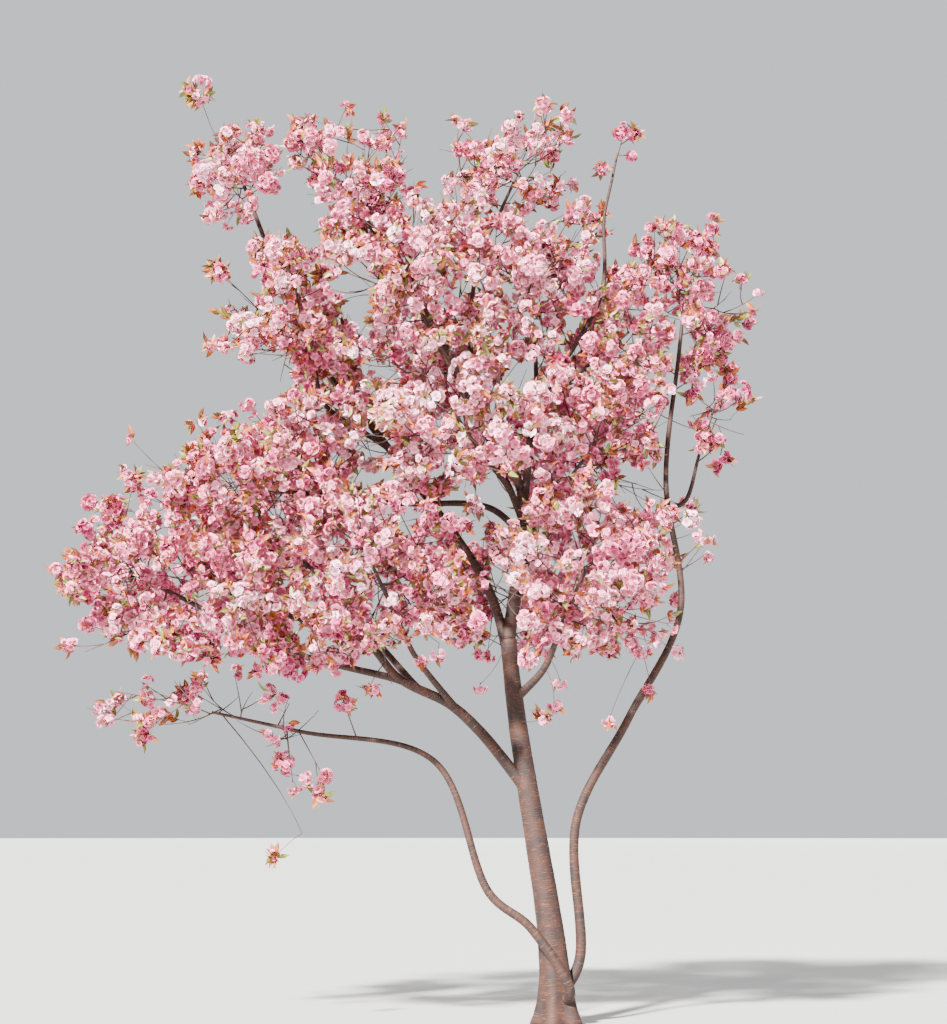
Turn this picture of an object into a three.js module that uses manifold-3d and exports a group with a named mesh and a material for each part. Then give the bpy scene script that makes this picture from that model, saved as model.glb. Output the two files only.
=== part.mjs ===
// A double pink flowering cherry tree in full bloom, about eight metres tall, rooted in level ground.
// Millimetres, +Z up, seen from -Y as in the photograph. The origin is the middle of the flat cut under
// the trunk. A low-forking trunk leans to the left and carries ascending boughs, and each bough ends where
// it enters a mass of blossom: one solid of twigs, blossom heads and young leaves in a space of its own.
import * as THREE from "three";
import { mergeVertices } from "three/addons/utils/BufferGeometryUtils.js";
import Module from "manifold-3d";

const wasm = await Module();
wasm.setup();

// Driving dimensions of the wood
const JOINT_GAP = 0.3;
const TRUNK_FORK = [-400, 0, 3165];
const TRUNK_RADIUS = { foot: 118, fork: 66 };
const ROOT_FLARE = { swell: 88, height: 260, lobes: 5, lobeShare: 0.34 };
const COLLAR = { share: 0.22, length: 90 };
const TRUNK_SIDES = 15;
const TRUNK_STEPS = 8;
const LIMB_SIDES = 6;
const LIMB_STEP_LENGTH = 520;
const LIMB_LEAST_STEPS = 3;

// Driving dimensions of the blossom masses
const ENTRY_SHARE = 0.7;
const STEM = { lead: 60, sides: 5, steps: 3, taper: 0.7 };
const TWIG = { sides: 3, share: 0.5, least: 6, taper: 0.85, checks: [0.2, 0.4, 0.6, 0.8] };
const BUD_SPACING = 40;
const SPACE_MARGIN = 6;
const PATH_WEIGHT = 0.4;
const TURN_LIMIT = -0.4;
const SPRAY = { slimness: 0.7, jitter: 0.2, overlap: 0.12, checks: [0, 0.5, 1] };
const SHELL = { places: 60, depths: [1, 0.92, 1, 0.72], jitter: 0.08 };
const CORE_CLEARANCE = 12;
const LEAF = { length: 300, width: 105, thickness: 9, root: 60, every: 4, lift: 0.55 };
const CLEAN_UP = 1;

const BARK = { color: 0x6f4a35, roughness: 0.72, metalness: 0 };
const BLOSSOM = { color: 0xe9a3b9, roughness: 0.85, metalness: 0 };

// Each limb grows out of its parent at a share of the parent's length, bends through its via points, and
// ends at its tip or where it enters the mass that it carries. Radii run from its foot to its tip.
const LIMBS = {
  leader: {
    on: "trunk", at: 1, via: [[-335, 0, 3590], [-250, 0, 4090]],
    tip: [-285, 0, 4435], radii: [60, 44],
  },
  left_leader: {
    on: "leader", at: 1, via: [[-360, 15, 4620], [-660, 50, 5060], [-985, 90, 5800]],
    mass: "top_inner_left", radii: [42, 18],
  },
  right_leader: {
    on: "leader", at: 0.9, via: [[-130, -30, 5250], [80, -40, 5540], [410, -50, 6150], [440, -40, 6830]],
    mass: "leader_tip", radii: [34, 12],
  },
  top_centre_bough: {
    on: "left_leader", at: 0.22, via: [[-720, 40, 5700], [-640, 60, 6500]],
    mass: "top_centre", radii: [26, 16],
  },
  upper_centre_bough: {
    on: "left_leader", at: 0.32, via: [[-960, -150, 5600]],
    mass: "upper_centre", radii: [26, 18],
  },
  right_inner_bough: {
    on: "right_leader", at: 0.3, via: [[110, 10, 5370]],
    mass: "right_inner", radii: [22, 16],
  },
  upper_mid_bough: {
    on: "right_leader", at: 0.3, via: [[-160, 30, 5620]],
    mass: "upper_mid", radii: [24, 17],
  },
  centre_bough: { on: "leader", at: 0.8, via: [[-420, -380, 4420]], mass: "centre_front", radii: [30, 20] },
  left_middle_bough: {
    on: "leader", at: 0.68, via: [[-560, -40, 4280], [-1300, -150, 4300]],
    mass: "left_shoulder", radii: [30, 20],
  },
  right_middle_bough: {
    on: "leader", at: 0.35, via: [[-100, -60, 4010], [250, -110, 4380]],
    mass: "right_middle", radii: [30, 20],
  },
  top_left_bough: {
    on: "trunk", at: 0.95, via: [[-590, 30, 3640], [-1480, 150, 4900], [-2190, 230, 5830]],
    mass: "top_left", radii: [44, 20],
  },
  left_upper_bough: {
    on: "top_left_bough", at: 0.48, via: [[-1980, 20, 5200]],
    mass: "left_upper", radii: [25, 17],
  },
  left_low_bough: {
    on: "trunk", at: 0.6,
    via: [[-650, -90, 2400], [-890, -150, 2610], [-1310, -220, 2820], [-1590, -280, 3120]],
    mass: "lower_left", radii: [52, 24],
  },
  lower_centre_bough: {
    on: "left_low_bough", at: 0.36, via: [[-1180, -480, 3000]],
    mass: "lower_centre", radii: [30, 20],
  },
  far_left_bough: {
    on: "left_low_bough", at: 0.56, via: [[-2300, 100, 3090]],
    mass: "far_left", radii: [32, 20],
  },
  back_left_bough: {
    on: "left_low_bough", at: 0.5, via: [[-1500, 300, 3150], [-1950, 760, 3700]],
    mass: "back_left", radii: [31, 20],
  },
  low_left_stem: {
    on: "trunk", at: 0.045,
    via: [[95, -190, 270], [-230, -250, 790], [-560, -240, 1060], [-1020, -210, 2140]],
    mass: "low_skirt", radii: [44, 17],
  },
  right_stem: {
    on: "trunk", at: 0.06,
    via: [[180, 40, 500], [165, 20, 1650], [600, -20, 2490], [1060, 100, 3400], [960, 150, 4550]],
    mass: "upper_right", radii: [46, 18],
  },
  far_right_bough: {
    on: "right_stem", at: 0.76, via: [[1110, 120, 4350]],
    mass: "far_right", radii: [21, 13],
  },
  lower_right_bough: {
    on: "trunk", at: 0.84, via: [[-110, -140, 2900]],
    mass: "lower_right", radii: [38, 23],
  },
  back_low_bough: { on: "trunk", at: 0.9, via: [[-390, 400, 3150]], mass: "back_low", radii: [36, 20] },
  back_up_bough: { on: "leader", at: 0.75, via: [[-480, 360, 4700]], mass: "back_up", radii: [33, 20] },
  back_right_bough: {
    on: "leader", at: 0.5, via: [[-90, 400, 4300]],
    mass: "back_right", radii: [32, 20],
  },
};

// Each mass fills one or two lobes, which are ellipsoids with a centre and half sizes. Its spray size is how
// far a spray of its blossom reaches each way from the spray's middle.
const MASSES = {
  top_left: {
    core: 0.5, spray: 250,
    lobes: [
      { centre: [-2720, 0, 7200], half: [560, 560, 660] },
      { centre: [-3140, -60, 8060], half: [330, 300, 320] },
    ],
  },
  top_inner_left: {
    spray: 208,
    lobes: [
      { centre: [-1820, 150, 7170], half: [640, 600, 600] },
      { centre: [-2140, 100, 7470], half: [400, 380, 330] },
    ],
  },
  top_centre: { core: 0.5, spray: 235, lobes: [{ centre: [-300, 60, 7260], half: [720, 640, 620] }] },
  leader_tip: { spray: 150, lobes: [{ centre: [560, -40, 7400], half: [280, 270, 400] }] },
  upper_centre: {
    core: 0.5, spray: 285,
    lobes: [
      { centre: [-1270, -500, 6130], half: [1000, 840, 830] },
      { centre: [-930, -200, 6760], half: [540, 500, 440] },
    ],
  },
  upper_mid: {
    core: 0.5, spray: 280,
    lobes: [
      { centre: [-210, 60, 6230], half: [820, 780, 840] },
      { centre: [-20, 60, 6760], half: [560, 500, 450] },
    ],
  },
  right_inner: { core: 0.5, spray: 240, lobes: [{ centre: [660, 180, 5860], half: [720, 720, 760] }] },
  upper_right: {
    core: 0.5, spray: 235,
    lobes: [
      { centre: [1150, 200, 6170], half: [590, 660, 680] },
      { centre: [1180, 200, 5530], half: [520, 540, 540] },
    ],
  },
  centre_front: {
    core: 0.5, spray: 300,
    lobes: [
      { centre: [-870, -880, 4940], half: [970, 860, 800] },
      { centre: [-1480, -600, 4830], half: [540, 500, 540] },
    ],
  },
  left_upper: {
    core: 0.5, spray: 250,
    lobes: [
      { centre: [-2150, -350, 5860], half: [700, 720, 740] },
      { centre: [-1850, -250, 5480], half: [520, 500, 440] },
    ],
  },
  left_shoulder: {
    core: 0.5, spray: 295,
    lobes: [
      { centre: [-2560, -350, 4400], half: [1000, 940, 640] },
      { centre: [-1950, -300, 4950], half: [620, 580, 520] },
    ],
  },
  far_left: { core: 0.5, spray: 290, lobes: [{ centre: [-3610, 0, 3740], half: [800, 860, 680] }] },
  lower_left: {
    core: 0.5, spray: 290,
    lobes: [
      { centre: [-2710, -750, 3480], half: [860, 870, 660] },
      { centre: [-2700, -450, 2960], half: [620, 450, 330] },
    ],
  },
  lower_centre: { core: 0.5, spray: 300, lobes: [{ centre: [-1500, -860, 3670], half: [900, 840, 860] }] },
  lower_right: {
    core: 0.5, spray: 295,
    lobes: [
      { centre: [230, -640, 3700], half: [900, 900, 820] },
      { centre: [700, -560, 3300], half: [460, 440, 420] },
    ],
  },
  right_middle: { core: 0.5, spray: 290, lobes: [{ centre: [360, -150, 4950], half: [760, 840, 820] }] },
  far_right: { spray: 205, lobes: [{ centre: [1400, 150, 5230], half: [450, 500, 740] }] },
  low_skirt: {
    spray: 255,
    lobes: [
      { centre: [-2880, -60, 2550], half: [1200, 640, 480] },
      { centre: [-2130, -150, 1860], half: [340, 310, 630] },
    ],
  },
  back_low: { core: 0.5, spray: 305, lobes: [{ centre: [-320, 1050, 3640], half: [920, 840, 710] }] },
  back_left: { core: 0.5, spray: 345, lobes: [{ centre: [-2680, 1150, 4370], half: [1150, 860, 890] }] },
  back_up: { core: 0.5, spray: 335, lobes: [{ centre: [-1320, 1080, 5800], half: [1100, 860, 890] }] },
  back_right: { core: 0.5, spray: 325, lobes: [{ centre: [330, 1080, 4920], half: [970, 860, 910] }] },
};

const GOLDEN_ANGLE = Math.PI * (3 - Math.sqrt(5));
const CYLINDER_AXIS = new THREE.Vector3(0, 1, 0);
const vector = (values) => new THREE.Vector3(...values);

// A small seeded generator, so that every run grows the same tree
function seededRandom(seed) {
  let state = seed >>> 0;
  return () => {
    state = (state + 0x6d2b79f5) >>> 0;
    let mixed = Math.imul(state ^ (state >>> 15), state | 1);
    mixed ^= mixed + Math.imul(mixed ^ (mixed >>> 7), mixed | 61);
    return ((mixed ^ (mixed >>> 14)) >>> 0) / 4294967296;
  };
}

// Solids and meshes
function solidOf(geometry) {
  const bare = geometry.clone();
  bare.deleteAttribute("normal");
  bare.deleteAttribute("uv");
  const merged = mergeVertices(bare);
  return new wasm.Manifold(
    new wasm.Mesh({
      numProp: 3,
      vertProperties: merged.attributes.position.array,
      triVerts: new Uint32Array(merged.index.array),
    }),
  );
}

// The largest body of a solid: loose scraps are dropped, and so are the walls of sealed hollows
function largestBody(solid) {
  const bodies = solid.decompose();
  return bodies.reduce((best, body) => (body.volume() > best.volume() ? body : best));
}

function meshOf(name, solid, look) {
  const made = solid.getMesh();
  const geometry = new THREE.BufferGeometry();
  geometry.setAttribute("position", new THREE.BufferAttribute(new Float32Array(made.vertProperties), 3));
  geometry.setIndex(new THREE.BufferAttribute(new Uint32Array(made.triVerts), 1));
  geometry.computeVertexNormals();
  const mesh = new THREE.Mesh(geometry, new THREE.MeshStandardMaterial(look));
  mesh.name = name;
  return mesh;
}

// The trunk: a cylinder bent along its leaning line, swollen into root lobes at the ground
function trunkCurve() {
  return new THREE.CubicBezierCurve3(
    vector([0, 0, 0]),
    vector([0, 0, 900]),
    vector([-300, 0, 1900]),
    vector(TRUNK_FORK),
  );
}

function trunkRadius(share, height, angle) {
  const stem = THREE.MathUtils.lerp(TRUNK_RADIUS.foot, TRUNK_RADIUS.fork, share);
  const lobe = 1 + ROOT_FLARE.lobeShare * Math.cos(ROOT_FLARE.lobes * angle);
  return stem + ROOT_FLARE.swell * Math.exp(-height / ROOT_FLARE.height) * lobe;
}

// A limb: thick at its collar, and tapering evenly to its tip
function limbRadius(limb, share) {
  const [foot, tip] = limb.radii;
  const collar = 1 + COLLAR.share * Math.exp((-share * limb.length) / COLLAR.length);
  return THREE.MathUtils.lerp(foot, tip, share) * (limb.at === 1 ? 1 : collar);
}

// A cylinder whose rings are set square across a curve, with the radius that each place has. The extra is
// added all round and past both ends.
function bentCylinder(curve, frames, radiusAt, sides, steps, extra) {
  const geometry = new THREE.CylinderGeometry(1, 1, 1, sides, steps);
  const places = geometry.attributes.position;
  const ring = new THREE.Vector3();
  for (let i = 0; i < places.count; i++) {
    const across = new THREE.Vector2(places.getX(i), places.getZ(i));
    const share = places.getY(i) + 0.5;
    const step = Math.round(share * steps);
    const centre = curve.getPointAt(share);
    const reach = radiusAt(share, centre.z, across.angle()) + extra;
    ring.copy(centre).addScaledVector(frames.tangents[step], Math.trunc(2 * share - 1) * extra);
    ring.addScaledVector(frames.normals[step], across.x * reach);
    ring.addScaledVector(frames.binormals[step], -across.y * reach);
    places.setXYZ(i, ring.x, ring.y, ring.z);
  }
  return geometry;
}

function growTrunk() {
  const curve = trunkCurve();
  const frames = curve.computeFrenetFrames(TRUNK_STEPS);
  const shape = (extra) => {
    const geometry = bentCylinder(curve, frames, trunkRadius, TRUNK_SIDES, TRUNK_STEPS, extra);
    flattenFoot(geometry, curve.getPointAt(1 / TRUNK_STEPS).z / 2);
    return solidOf(geometry);
  };
  const radii = [TRUNK_RADIUS.foot, TRUNK_RADIUS.fork];
  return { name: "trunk", curve, frames, steps: TRUNK_STEPS, radii, length: curve.getLength(), shape };
}

// The lowest ring lies in the ground plane
function flattenFoot(geometry, below) {
  const places = geometry.attributes.position;
  for (let i = 0; i < places.count; i++) {
    if (places.getZ(i) < below) places.setZ(i, 0);
  }
}

// How far a mass's first lobe reaches from its centre in one direction
function lobeReach(lobe, direction) {
  const [a, b, c] = lobe.half;
  return 1 / Math.hypot(direction.x / a, direction.y / b, direction.z / c);
}

// A limb's points, from inside its parent to its tip or to where it enters its mass
function limbPoints(limb, parent) {
  const tangent = parent.frames.tangents[parent.steps];
  const start = parent.curve.getPointAt(limb.at);
  if (limb.at === 1) start.addScaledVector(tangent, JOINT_GAP);
  const points = [start, ...limb.via.map(vector)];
  if (limb.tip) return [...points, vector(limb.tip)];
  const lobe = MASSES[limb.mass].lobes[0];
  const centre = vector(lobe.centre);
  const inward = centre.clone().sub(points.at(-1)).normalize();
  return [...points, centre.addScaledVector(inward, -ENTRY_SHARE * lobeReach(lobe, inward))];
}

// A limb that carries on from its parent's tip starts square to it, so that their flat ends lie face to face
function limbFrames(limb, parent, curve, steps) {
  const frames = curve.computeFrenetFrames(steps);
  if (limb.at !== 1) return frames;
  frames.normals[0] = parent.frames.normals[parent.steps];
  frames.binormals[0] = parent.frames.binormals[parent.steps];
  return frames;
}

function growLimb(name, settings, limbs) {
  const limb = { name, ...settings };
  const parent = limbs.get(limb.on);
  const curve = new THREE.CatmullRomCurve3(limbPoints(limb, parent), false, "centripetal");
  limb.length = curve.getLength();
  const steps = Math.max(LIMB_LEAST_STEPS, Math.round(limb.length / LIMB_STEP_LENGTH));
  const frames = limbFrames(limb, parent, curve, steps);
  const radiusAt = (share) => limbRadius(limb, share);
  const shape = (extra) => solidOf(bentCylinder(curve, frames, radiusAt, LIMB_SIDES, steps, extra));
  return { ...limb, curve, frames, steps, shape };
}

// All the limbs, each cut to fit against the ones before it with the joint's gap
function growLimbs() {
  const limbs = new Map([["trunk", growTrunk()]]);
  for (const [name, settings] of Object.entries(LIMBS)) limbs.set(name, growLimb(name, settings, limbs));
  const grown = [...limbs.values()];
  grown.forEach((limb, index) => {
    const meetsEndOn = (other) => limb.at === 1 && other.name === limb.on;
    const before = grown.slice(0, index).filter((other) => !meetsEndOn(other));
    const cut = before.reduce((solid, other) => solid.subtract(other.shape(JOINT_GAP)), limb.shape(0));
    limb.solid = largestBody(cut);
  });
  return limbs;
}

// Straight stretches of every limb, which twigs, sprays and leaves have to stay clear of
function limbStretches(limbs) {
  const stretches = [];
  for (const limb of limbs.values()) {
    const steps = limb.steps * 2;
    for (let i = 0; i < steps; i++) {
      const share = i / steps;
      const radius = limb.name === "trunk" ? TRUNK_RADIUS.foot : limbRadius(limb, share);
      const line = new THREE.Line3(limb.curve.getPointAt(share), limb.curve.getPointAt((i + 1) / steps));
      stretches.push({ line, radius: radius + SPACE_MARGIN });
    }
  }
  return stretches;
}

function clearOf(point, radius, stretches) {
  const nearest = new THREE.Vector3();
  return stretches.every((stretch) => {
    stretch.line.closestPointToPoint(point, true, nearest);
    return nearest.distanceTo(point) >= stretch.radius + radius;
  });
}

// Every lobe of the crown. Its weight sets where the flat border to a neighbouring lobe lies.
const LOBES = Object.entries(MASSES).flatMap(([mass, { lobes }]) =>
  lobes.map((lobe) => {
    const [a, b, c] = lobe.half;
    return { mass, centre: vector(lobe.centre), weight: ((a + b + c) / 3) ** 2 };
  }),
);
const borderPower = (lobe, point) => lobe.centre.distanceToSquared(point) - lobe.weight;

// Whether a ball stays on its own mass's side of every border between two masses
function inOwnSpace(mass, point, radius) {
  const own = LOBES.filter((lobe) => lobe.mass === mass);
  const nearer = (best, lobe) => (borderPower(lobe, point) < borderPower(best, point) ? lobe : best);
  const home = own.reduce(nearer);
  return LOBES.every((other) => {
    if (other.mass === mass) return true;
    const lead = borderPower(other, point) - borderPower(home, point);
    return lead / (2 * other.centre.distanceTo(home.centre)) >= radius + SPACE_MARGIN;
  });
}

// Even places for sprays on the shell of a lobe, and a few deeper inside
function sprayPlaces(lobe, reach, random) {
  const turn = random() * 2 * Math.PI;
  return Array.from({ length: SHELL.places }, (_, index) => {
    const rise = 1 - (2 * (index + 0.5)) / SHELL.places;
    const round = Math.sqrt(1 - rise * rise);
    const angle = turn + index * GOLDEN_ANGLE;
    const depth = SHELL.depths[index % SHELL.depths.length] * (1 - SHELL.jitter * random());
    const direction = new THREE.Vector3(round * Math.cos(angle), round * Math.sin(angle), rise);
    const inner = vector(lobe.half).subScalar(reach);
    return direction.multiply(inner).multiplyScalar(depth).add(vector(lobe.centre));
  });
}

// The stem that takes over at the bough's tip and runs to the middle of the mass
function growStem(bough, mass) {
  const ahead = bough.frames.tangents[bough.steps];
  const base = bough.curve.getPointAt(1).addScaledVector(ahead, JOINT_GAP);
  const points = [base, base.clone().addScaledVector(ahead, STEM.lead), vector(mass.lobes[0].centre)];
  const curve = new THREE.CatmullRomCurve3(points, false, "centripetal");
  const frames = limbFrames({ at: 1 }, bough, curve, STEM.steps);
  const radius = (share) => bough.radii[1] * THREE.MathUtils.lerp(1, STEM.taper, share);
  const solid = solidOf(bentCylinder(curve, frames, radius, STEM.sides, STEM.steps, 0));
  const length = curve.getLength();
  const buds = budShares(length, STEM.lead).map((share) => ({
    place: curve.getPointAt(share),
    heading: curve.getTangentAt(share),
    path: share * length,
    radius: radius(share),
  }));
  return { solid, buds };
}

// Buds sit at an even spacing along a twig, and a new twig can grow from each of them once
function budShares(length, lead) {
  const count = Math.max(0, Math.floor((length - lead) / BUD_SPACING));
  return Array.from({ length: count }, (_, index) => (lead + (index + 1) * BUD_SPACING) / length);
}

// A twig with a slender spray of blossom round its end
function twigFrom(bud, centre, reach) {
  const heading = centre.clone().sub(bud.place);
  const length = heading.length();
  heading.normalize();
  const radius = Math.max(TWIG.least, TWIG.share * bud.radius);
  const width = reach * SPRAY.slimness;
  const line = new THREE.Line3(
    centre.clone().addScaledVector(heading, width - reach),
    centre.clone().addScaledVector(heading, reach - width),
  );
  const spray = { centre, heading, reach, width, line, radius: width };
  const twig = { bud, radius, spray, line: new THREE.Line3(bud.place, centre) };
  twig.buds = budShares(length - reach, 0).map((share) => ({
    twig,
    place: bud.place.clone().addScaledVector(heading, share * (length - reach)),
    heading,
    path: bud.path + share * (length - reach),
    radius: radius * THREE.MathUtils.lerp(1, TWIG.taper, share),
  }));
  return twig;
}

function sprayFits({ spray }, mass, stretches, sprays) {
  const along = SPRAY.checks.map((share) => spray.line.at(share, new THREE.Vector3()));
  return along.every((point) => {
    const own = inOwnSpace(mass, point, spray.width) && clearOf(point, spray.width, stretches);
    return own && clearOf(point, spray.width * (1 - SPRAY.overlap), sprays);
  });
}

function twigFits({ spray, bud, radius }, mass, stretches, twigs) {
  const others = twigs.filter((other) => other !== bud.twig);
  const obstacles = [...stretches, ...others, ...others.map((other) => other.spray)];
  return TWIG.checks.every((share) => {
    const point = bud.place.clone().lerp(spray.centre, share);
    return inOwnSpace(mass, point, radius) && clearOf(point, radius, obstacles);
  });
}

// The branching rule: each twig grows from the bud that gives its spray the shortest way back to the bough
function growTwigs(name, buds, stretches, random) {
  const mass = MASSES[name];
  const base = buds[0].place;
  const twigs = [];
  const places = mass.lobes.flatMap((lobe) => sprayPlaces(lobe, mass.spray, random));
  places.sort((a, b) => a.distanceTo(base) - b.distanceTo(base));
  for (const place of places) {
    const reach = mass.spray * (1 - SPRAY.jitter * random());
    const sprays = twigs.map(({ spray }) => spray);
    const cost = (bud) => bud.place.distanceTo(place) + PATH_WEIGHT * bud.path;
    const fits = (grown) =>
      sprayFits(grown, name, stretches, sprays) && twigFits(grown, name, stretches, twigs);
    const twig = buds
      .filter((bud) => bud.heading.dot(place.clone().sub(bud.place).normalize()) > TURN_LIMIT)
      .sort((a, b) => cost(a) - cost(b))
      .map((bud) => twigFrom(bud, place, reach))
      .find(fits);
    if (!twig) continue;
    twigs.push(twig);
    buds.splice(buds.indexOf(twig.bud), 1);
    buds.push(...twig.buds);
  }
  return twigs;
}

function alongDirection(geometry, middle, direction, spin) {
  const turn = new THREE.Quaternion().setFromUnitVectors(CYLINDER_AXIS, direction);
  geometry.rotateY(spin);
  return geometry.applyMatrix4(new THREE.Matrix4().compose(middle, turn, new THREE.Vector3(1, 1, 1)));
}

function twigSolid({ bud, radius, spray }) {
  const length = bud.place.distanceTo(spray.centre);
  const geometry = new THREE.CylinderGeometry(radius * TWIG.taper, radius, length, TWIG.sides, 1);
  return solidOf(alongDirection(geometry, bud.place.clone().lerp(spray.centre, 0.5), spray.heading, 0));
}

// The spray's facets are turned so that its twig enters square through one of them
function spraySolid({ centre, heading, reach, width }, spin) {
  const geometry = new THREE.IcosahedronGeometry(1, 0);
  const facet = new THREE.Quaternion().setFromUnitVectors(vector([1, 1, 1]).normalize(), CYLINDER_AXIS);
  geometry.applyQuaternion(facet);
  geometry.scale(width, reach, width);
  return solidOf(alongDirection(geometry, centre, heading, spin));
}

// A dense mass has a core of blossom, smaller than the mass, that its sprays stand out of. It is cut back
// from the neighbouring masses' spaces and from every limb that passes.
function coreSolid(name, limbs) {
  const { core, lobes } = MASSES[name];
  const home = LOBES.find((lobe) => lobe.mass === name);
  const geometry = new THREE.IcosahedronGeometry(1, 1);
  geometry.scale(...vector(lobes[0].half).multiplyScalar(core).toArray());
  geometry.translate(...lobes[0].centre);
  const trimmed = LOBES.filter(({ mass }) => mass !== name).reduce((solid, other) => {
    const inward = home.centre.clone().sub(other.centre);
    const border = borderPower(other, home.centre) - borderPower(home, home.centre);
    const margin = SPACE_MARGIN - border / (2 * inward.length());
    inward.normalize();
    return solid.trimByPlane(inward.toArray(), inward.dot(home.centre) + margin);
  }, solidOf(geometry));
  const grown = [...limbs.values()];
  const cut = grown.reduce((solid, limb) => solid.subtract(limb.shape(CORE_CLEARANCE)), trimmed);
  return largestBody(cut);
}

// A thin blade of young leaves that stands out of a spray, its root sunk well into the blossom
function leafSolid({ spray }, mass, stretches, random) {
  const spin = random() * 2 * Math.PI;
  const outward = new THREE.Vector3(Math.cos(spin), Math.sin(spin), LEAF.lift);
  const direction = outward.add(spray.heading).normalize();
  const start = spray.centre.clone().addScaledVector(direction, spray.width - LEAF.root);
  const middle = start.clone().addScaledVector(direction, LEAF.length / 2);
  const tip = start.clone().addScaledVector(direction, LEAF.length);
  const fits = [middle, tip].every((point) => {
    return inOwnSpace(mass, point, LEAF.width / 2) && clearOf(point, LEAF.width / 2, stretches);
  });
  if (!fits) return null;
  const geometry = new THREE.OctahedronGeometry(1, 0);
  geometry.scale(LEAF.width / 2, LEAF.length / 2, LEAF.thickness / 2);
  return solidOf(alongDirection(geometry, middle, direction, spin));
}

// One mass: its stem, its twigs, its sprays of blossom and its leaves, all fused
function growMass(name, bough, limbs, stretches, seed) {
  const random = seededRandom(seed);
  const { solid, buds } = growStem(bough, MASSES[name]);
  const pieces = MASSES[name].core ? [solid, coreSolid(name, limbs)] : [solid];
  growTwigs(name, buds, stretches, random).forEach((twig, index) => {
    pieces.push(twigSolid(twig), spraySolid(twig.spray, random() * Math.PI));
    const leaf = index % LEAF.every ? null : leafSolid(twig, name, stretches, random);
    if (leaf) pieces.push(leaf);
  });
  return largestBody(wasm.Manifold.union(pieces).simplify(CLEAN_UP));
}

const limbs = growLimbs();
const stretches = limbStretches(limbs);
const tree = new THREE.Group();
for (const limb of limbs.values()) tree.add(meshOf(limb.name, limb.solid, BARK));
const boughs = [...limbs.values()].filter(({ mass }) => mass);
boughs.forEach((bough, index) => {
  const mass = growMass(bough.mass, bough, limbs, stretches, index + 1);
  tree.add(meshOf(`blossom_${bough.mass}`, mass, BLOSSOM));
});

export default tree;
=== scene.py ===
# %% [markdown]
# # A double pink cherry in full bloom
# The real object is an ornamental cherry about eight metres tall: a low-forking trunk that leans to the left,
# ascending boughs, and a wide crown of round clusters of double pink flowers with coppery young leaves.
# Its solids are already made and fixed, as one imported model. Everything below dresses that model: the bark's
# relief, the fine twigs, the flowers and the leaves. The first step is always to load the fixed model,
# because every piece has to sit where its solids say. The box round it is kept, because no tuft may pass it.

# %% Load the fixed model
import math

import bmesh
import bpy
import numpy as np
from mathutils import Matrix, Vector, noise


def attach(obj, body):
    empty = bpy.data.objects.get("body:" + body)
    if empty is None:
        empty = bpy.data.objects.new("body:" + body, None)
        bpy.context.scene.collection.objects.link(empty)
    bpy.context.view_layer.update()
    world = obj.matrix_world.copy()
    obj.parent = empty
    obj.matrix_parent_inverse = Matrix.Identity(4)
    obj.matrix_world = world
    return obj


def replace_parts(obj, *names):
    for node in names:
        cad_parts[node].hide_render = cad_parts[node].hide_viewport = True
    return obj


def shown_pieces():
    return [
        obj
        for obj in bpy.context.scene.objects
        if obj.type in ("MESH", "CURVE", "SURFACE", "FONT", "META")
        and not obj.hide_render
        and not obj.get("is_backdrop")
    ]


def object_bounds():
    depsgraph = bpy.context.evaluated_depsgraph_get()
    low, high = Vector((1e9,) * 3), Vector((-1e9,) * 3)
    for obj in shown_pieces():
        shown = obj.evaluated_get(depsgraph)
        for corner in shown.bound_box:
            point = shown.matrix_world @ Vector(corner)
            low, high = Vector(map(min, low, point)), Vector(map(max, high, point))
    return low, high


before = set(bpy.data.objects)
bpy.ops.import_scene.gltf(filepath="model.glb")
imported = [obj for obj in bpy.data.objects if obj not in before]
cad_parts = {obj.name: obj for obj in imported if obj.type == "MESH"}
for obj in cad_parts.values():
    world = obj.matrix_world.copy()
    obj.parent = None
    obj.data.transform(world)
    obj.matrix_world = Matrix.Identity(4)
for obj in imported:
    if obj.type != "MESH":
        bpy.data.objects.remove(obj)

CAD_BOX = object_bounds()
print("solids:", len(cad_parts), "from", CAD_BOX[0][:], "to", CAD_BOX[1][:])

# %% [markdown]
# ## The camera
# The photograph looks up a little at the tree, from eye height and from some way off. The same eye height and
# distance give the same view of the crown from below, and the lens follows from how many pixels the tree
# takes up. A camera could also be matched by eye, but working it out from the picture's size keeps the tree
# exactly where the photograph has it.

# %% Camera at the photograph's angle
PHOTO_SIZE = (947, 1024)
PHOTO_FOCAL = 2140
SENSOR_WIDTH = 36.0
EYE = Vector((-0.693, -18.0, 1.6))
AIM = Vector((-0.693, 0.0, 4.25))
SIGHT_LIMIT = 1000.0


def add_object(name, data):
    made = bpy.data.objects.new(name, data)
    bpy.context.scene.collection.objects.link(made)
    return made


camera = add_object("camera", bpy.data.cameras.new("camera"))
camera.data.sensor_width = SENSOR_WIDTH
camera.data.lens = PHOTO_FOCAL * SENSOR_WIDTH / max(PHOTO_SIZE)
camera.data.clip_end = SIGHT_LIMIT
camera.location = EYE
camera.rotation_euler = (AIM - EYE).to_track_quat("-Z", "Y").to_euler()
bpy.context.scene.camera = camera
print("lens", round(camera.data.lens, 2), "mm")

# %% [markdown]
# ## Colours
# Colours are easiest to think of as the red, green and blue values that a picture editor shows. Blender's
# nodes want linear light instead, so one small helper converts them.

# %% Colour helper
def colour(red, green, blue):
    """A linear colour from the 0 to 255 values that a picture editor shows."""
    shares = [value / 255 for value in (red, green, blue)]
    return [s / 12.92 if s <= 0.04045 else ((s + 0.055) / 1.055) ** 2.4 for s in shares] + [1]


# %% [markdown]
# ## Nodes for a finish
# Every finish here is a principled shader fed by a few texture nodes. Writing each link out by hand is long,
# so a small class adds a node, sets its sockets and links what is passed to it in one line.

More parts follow.
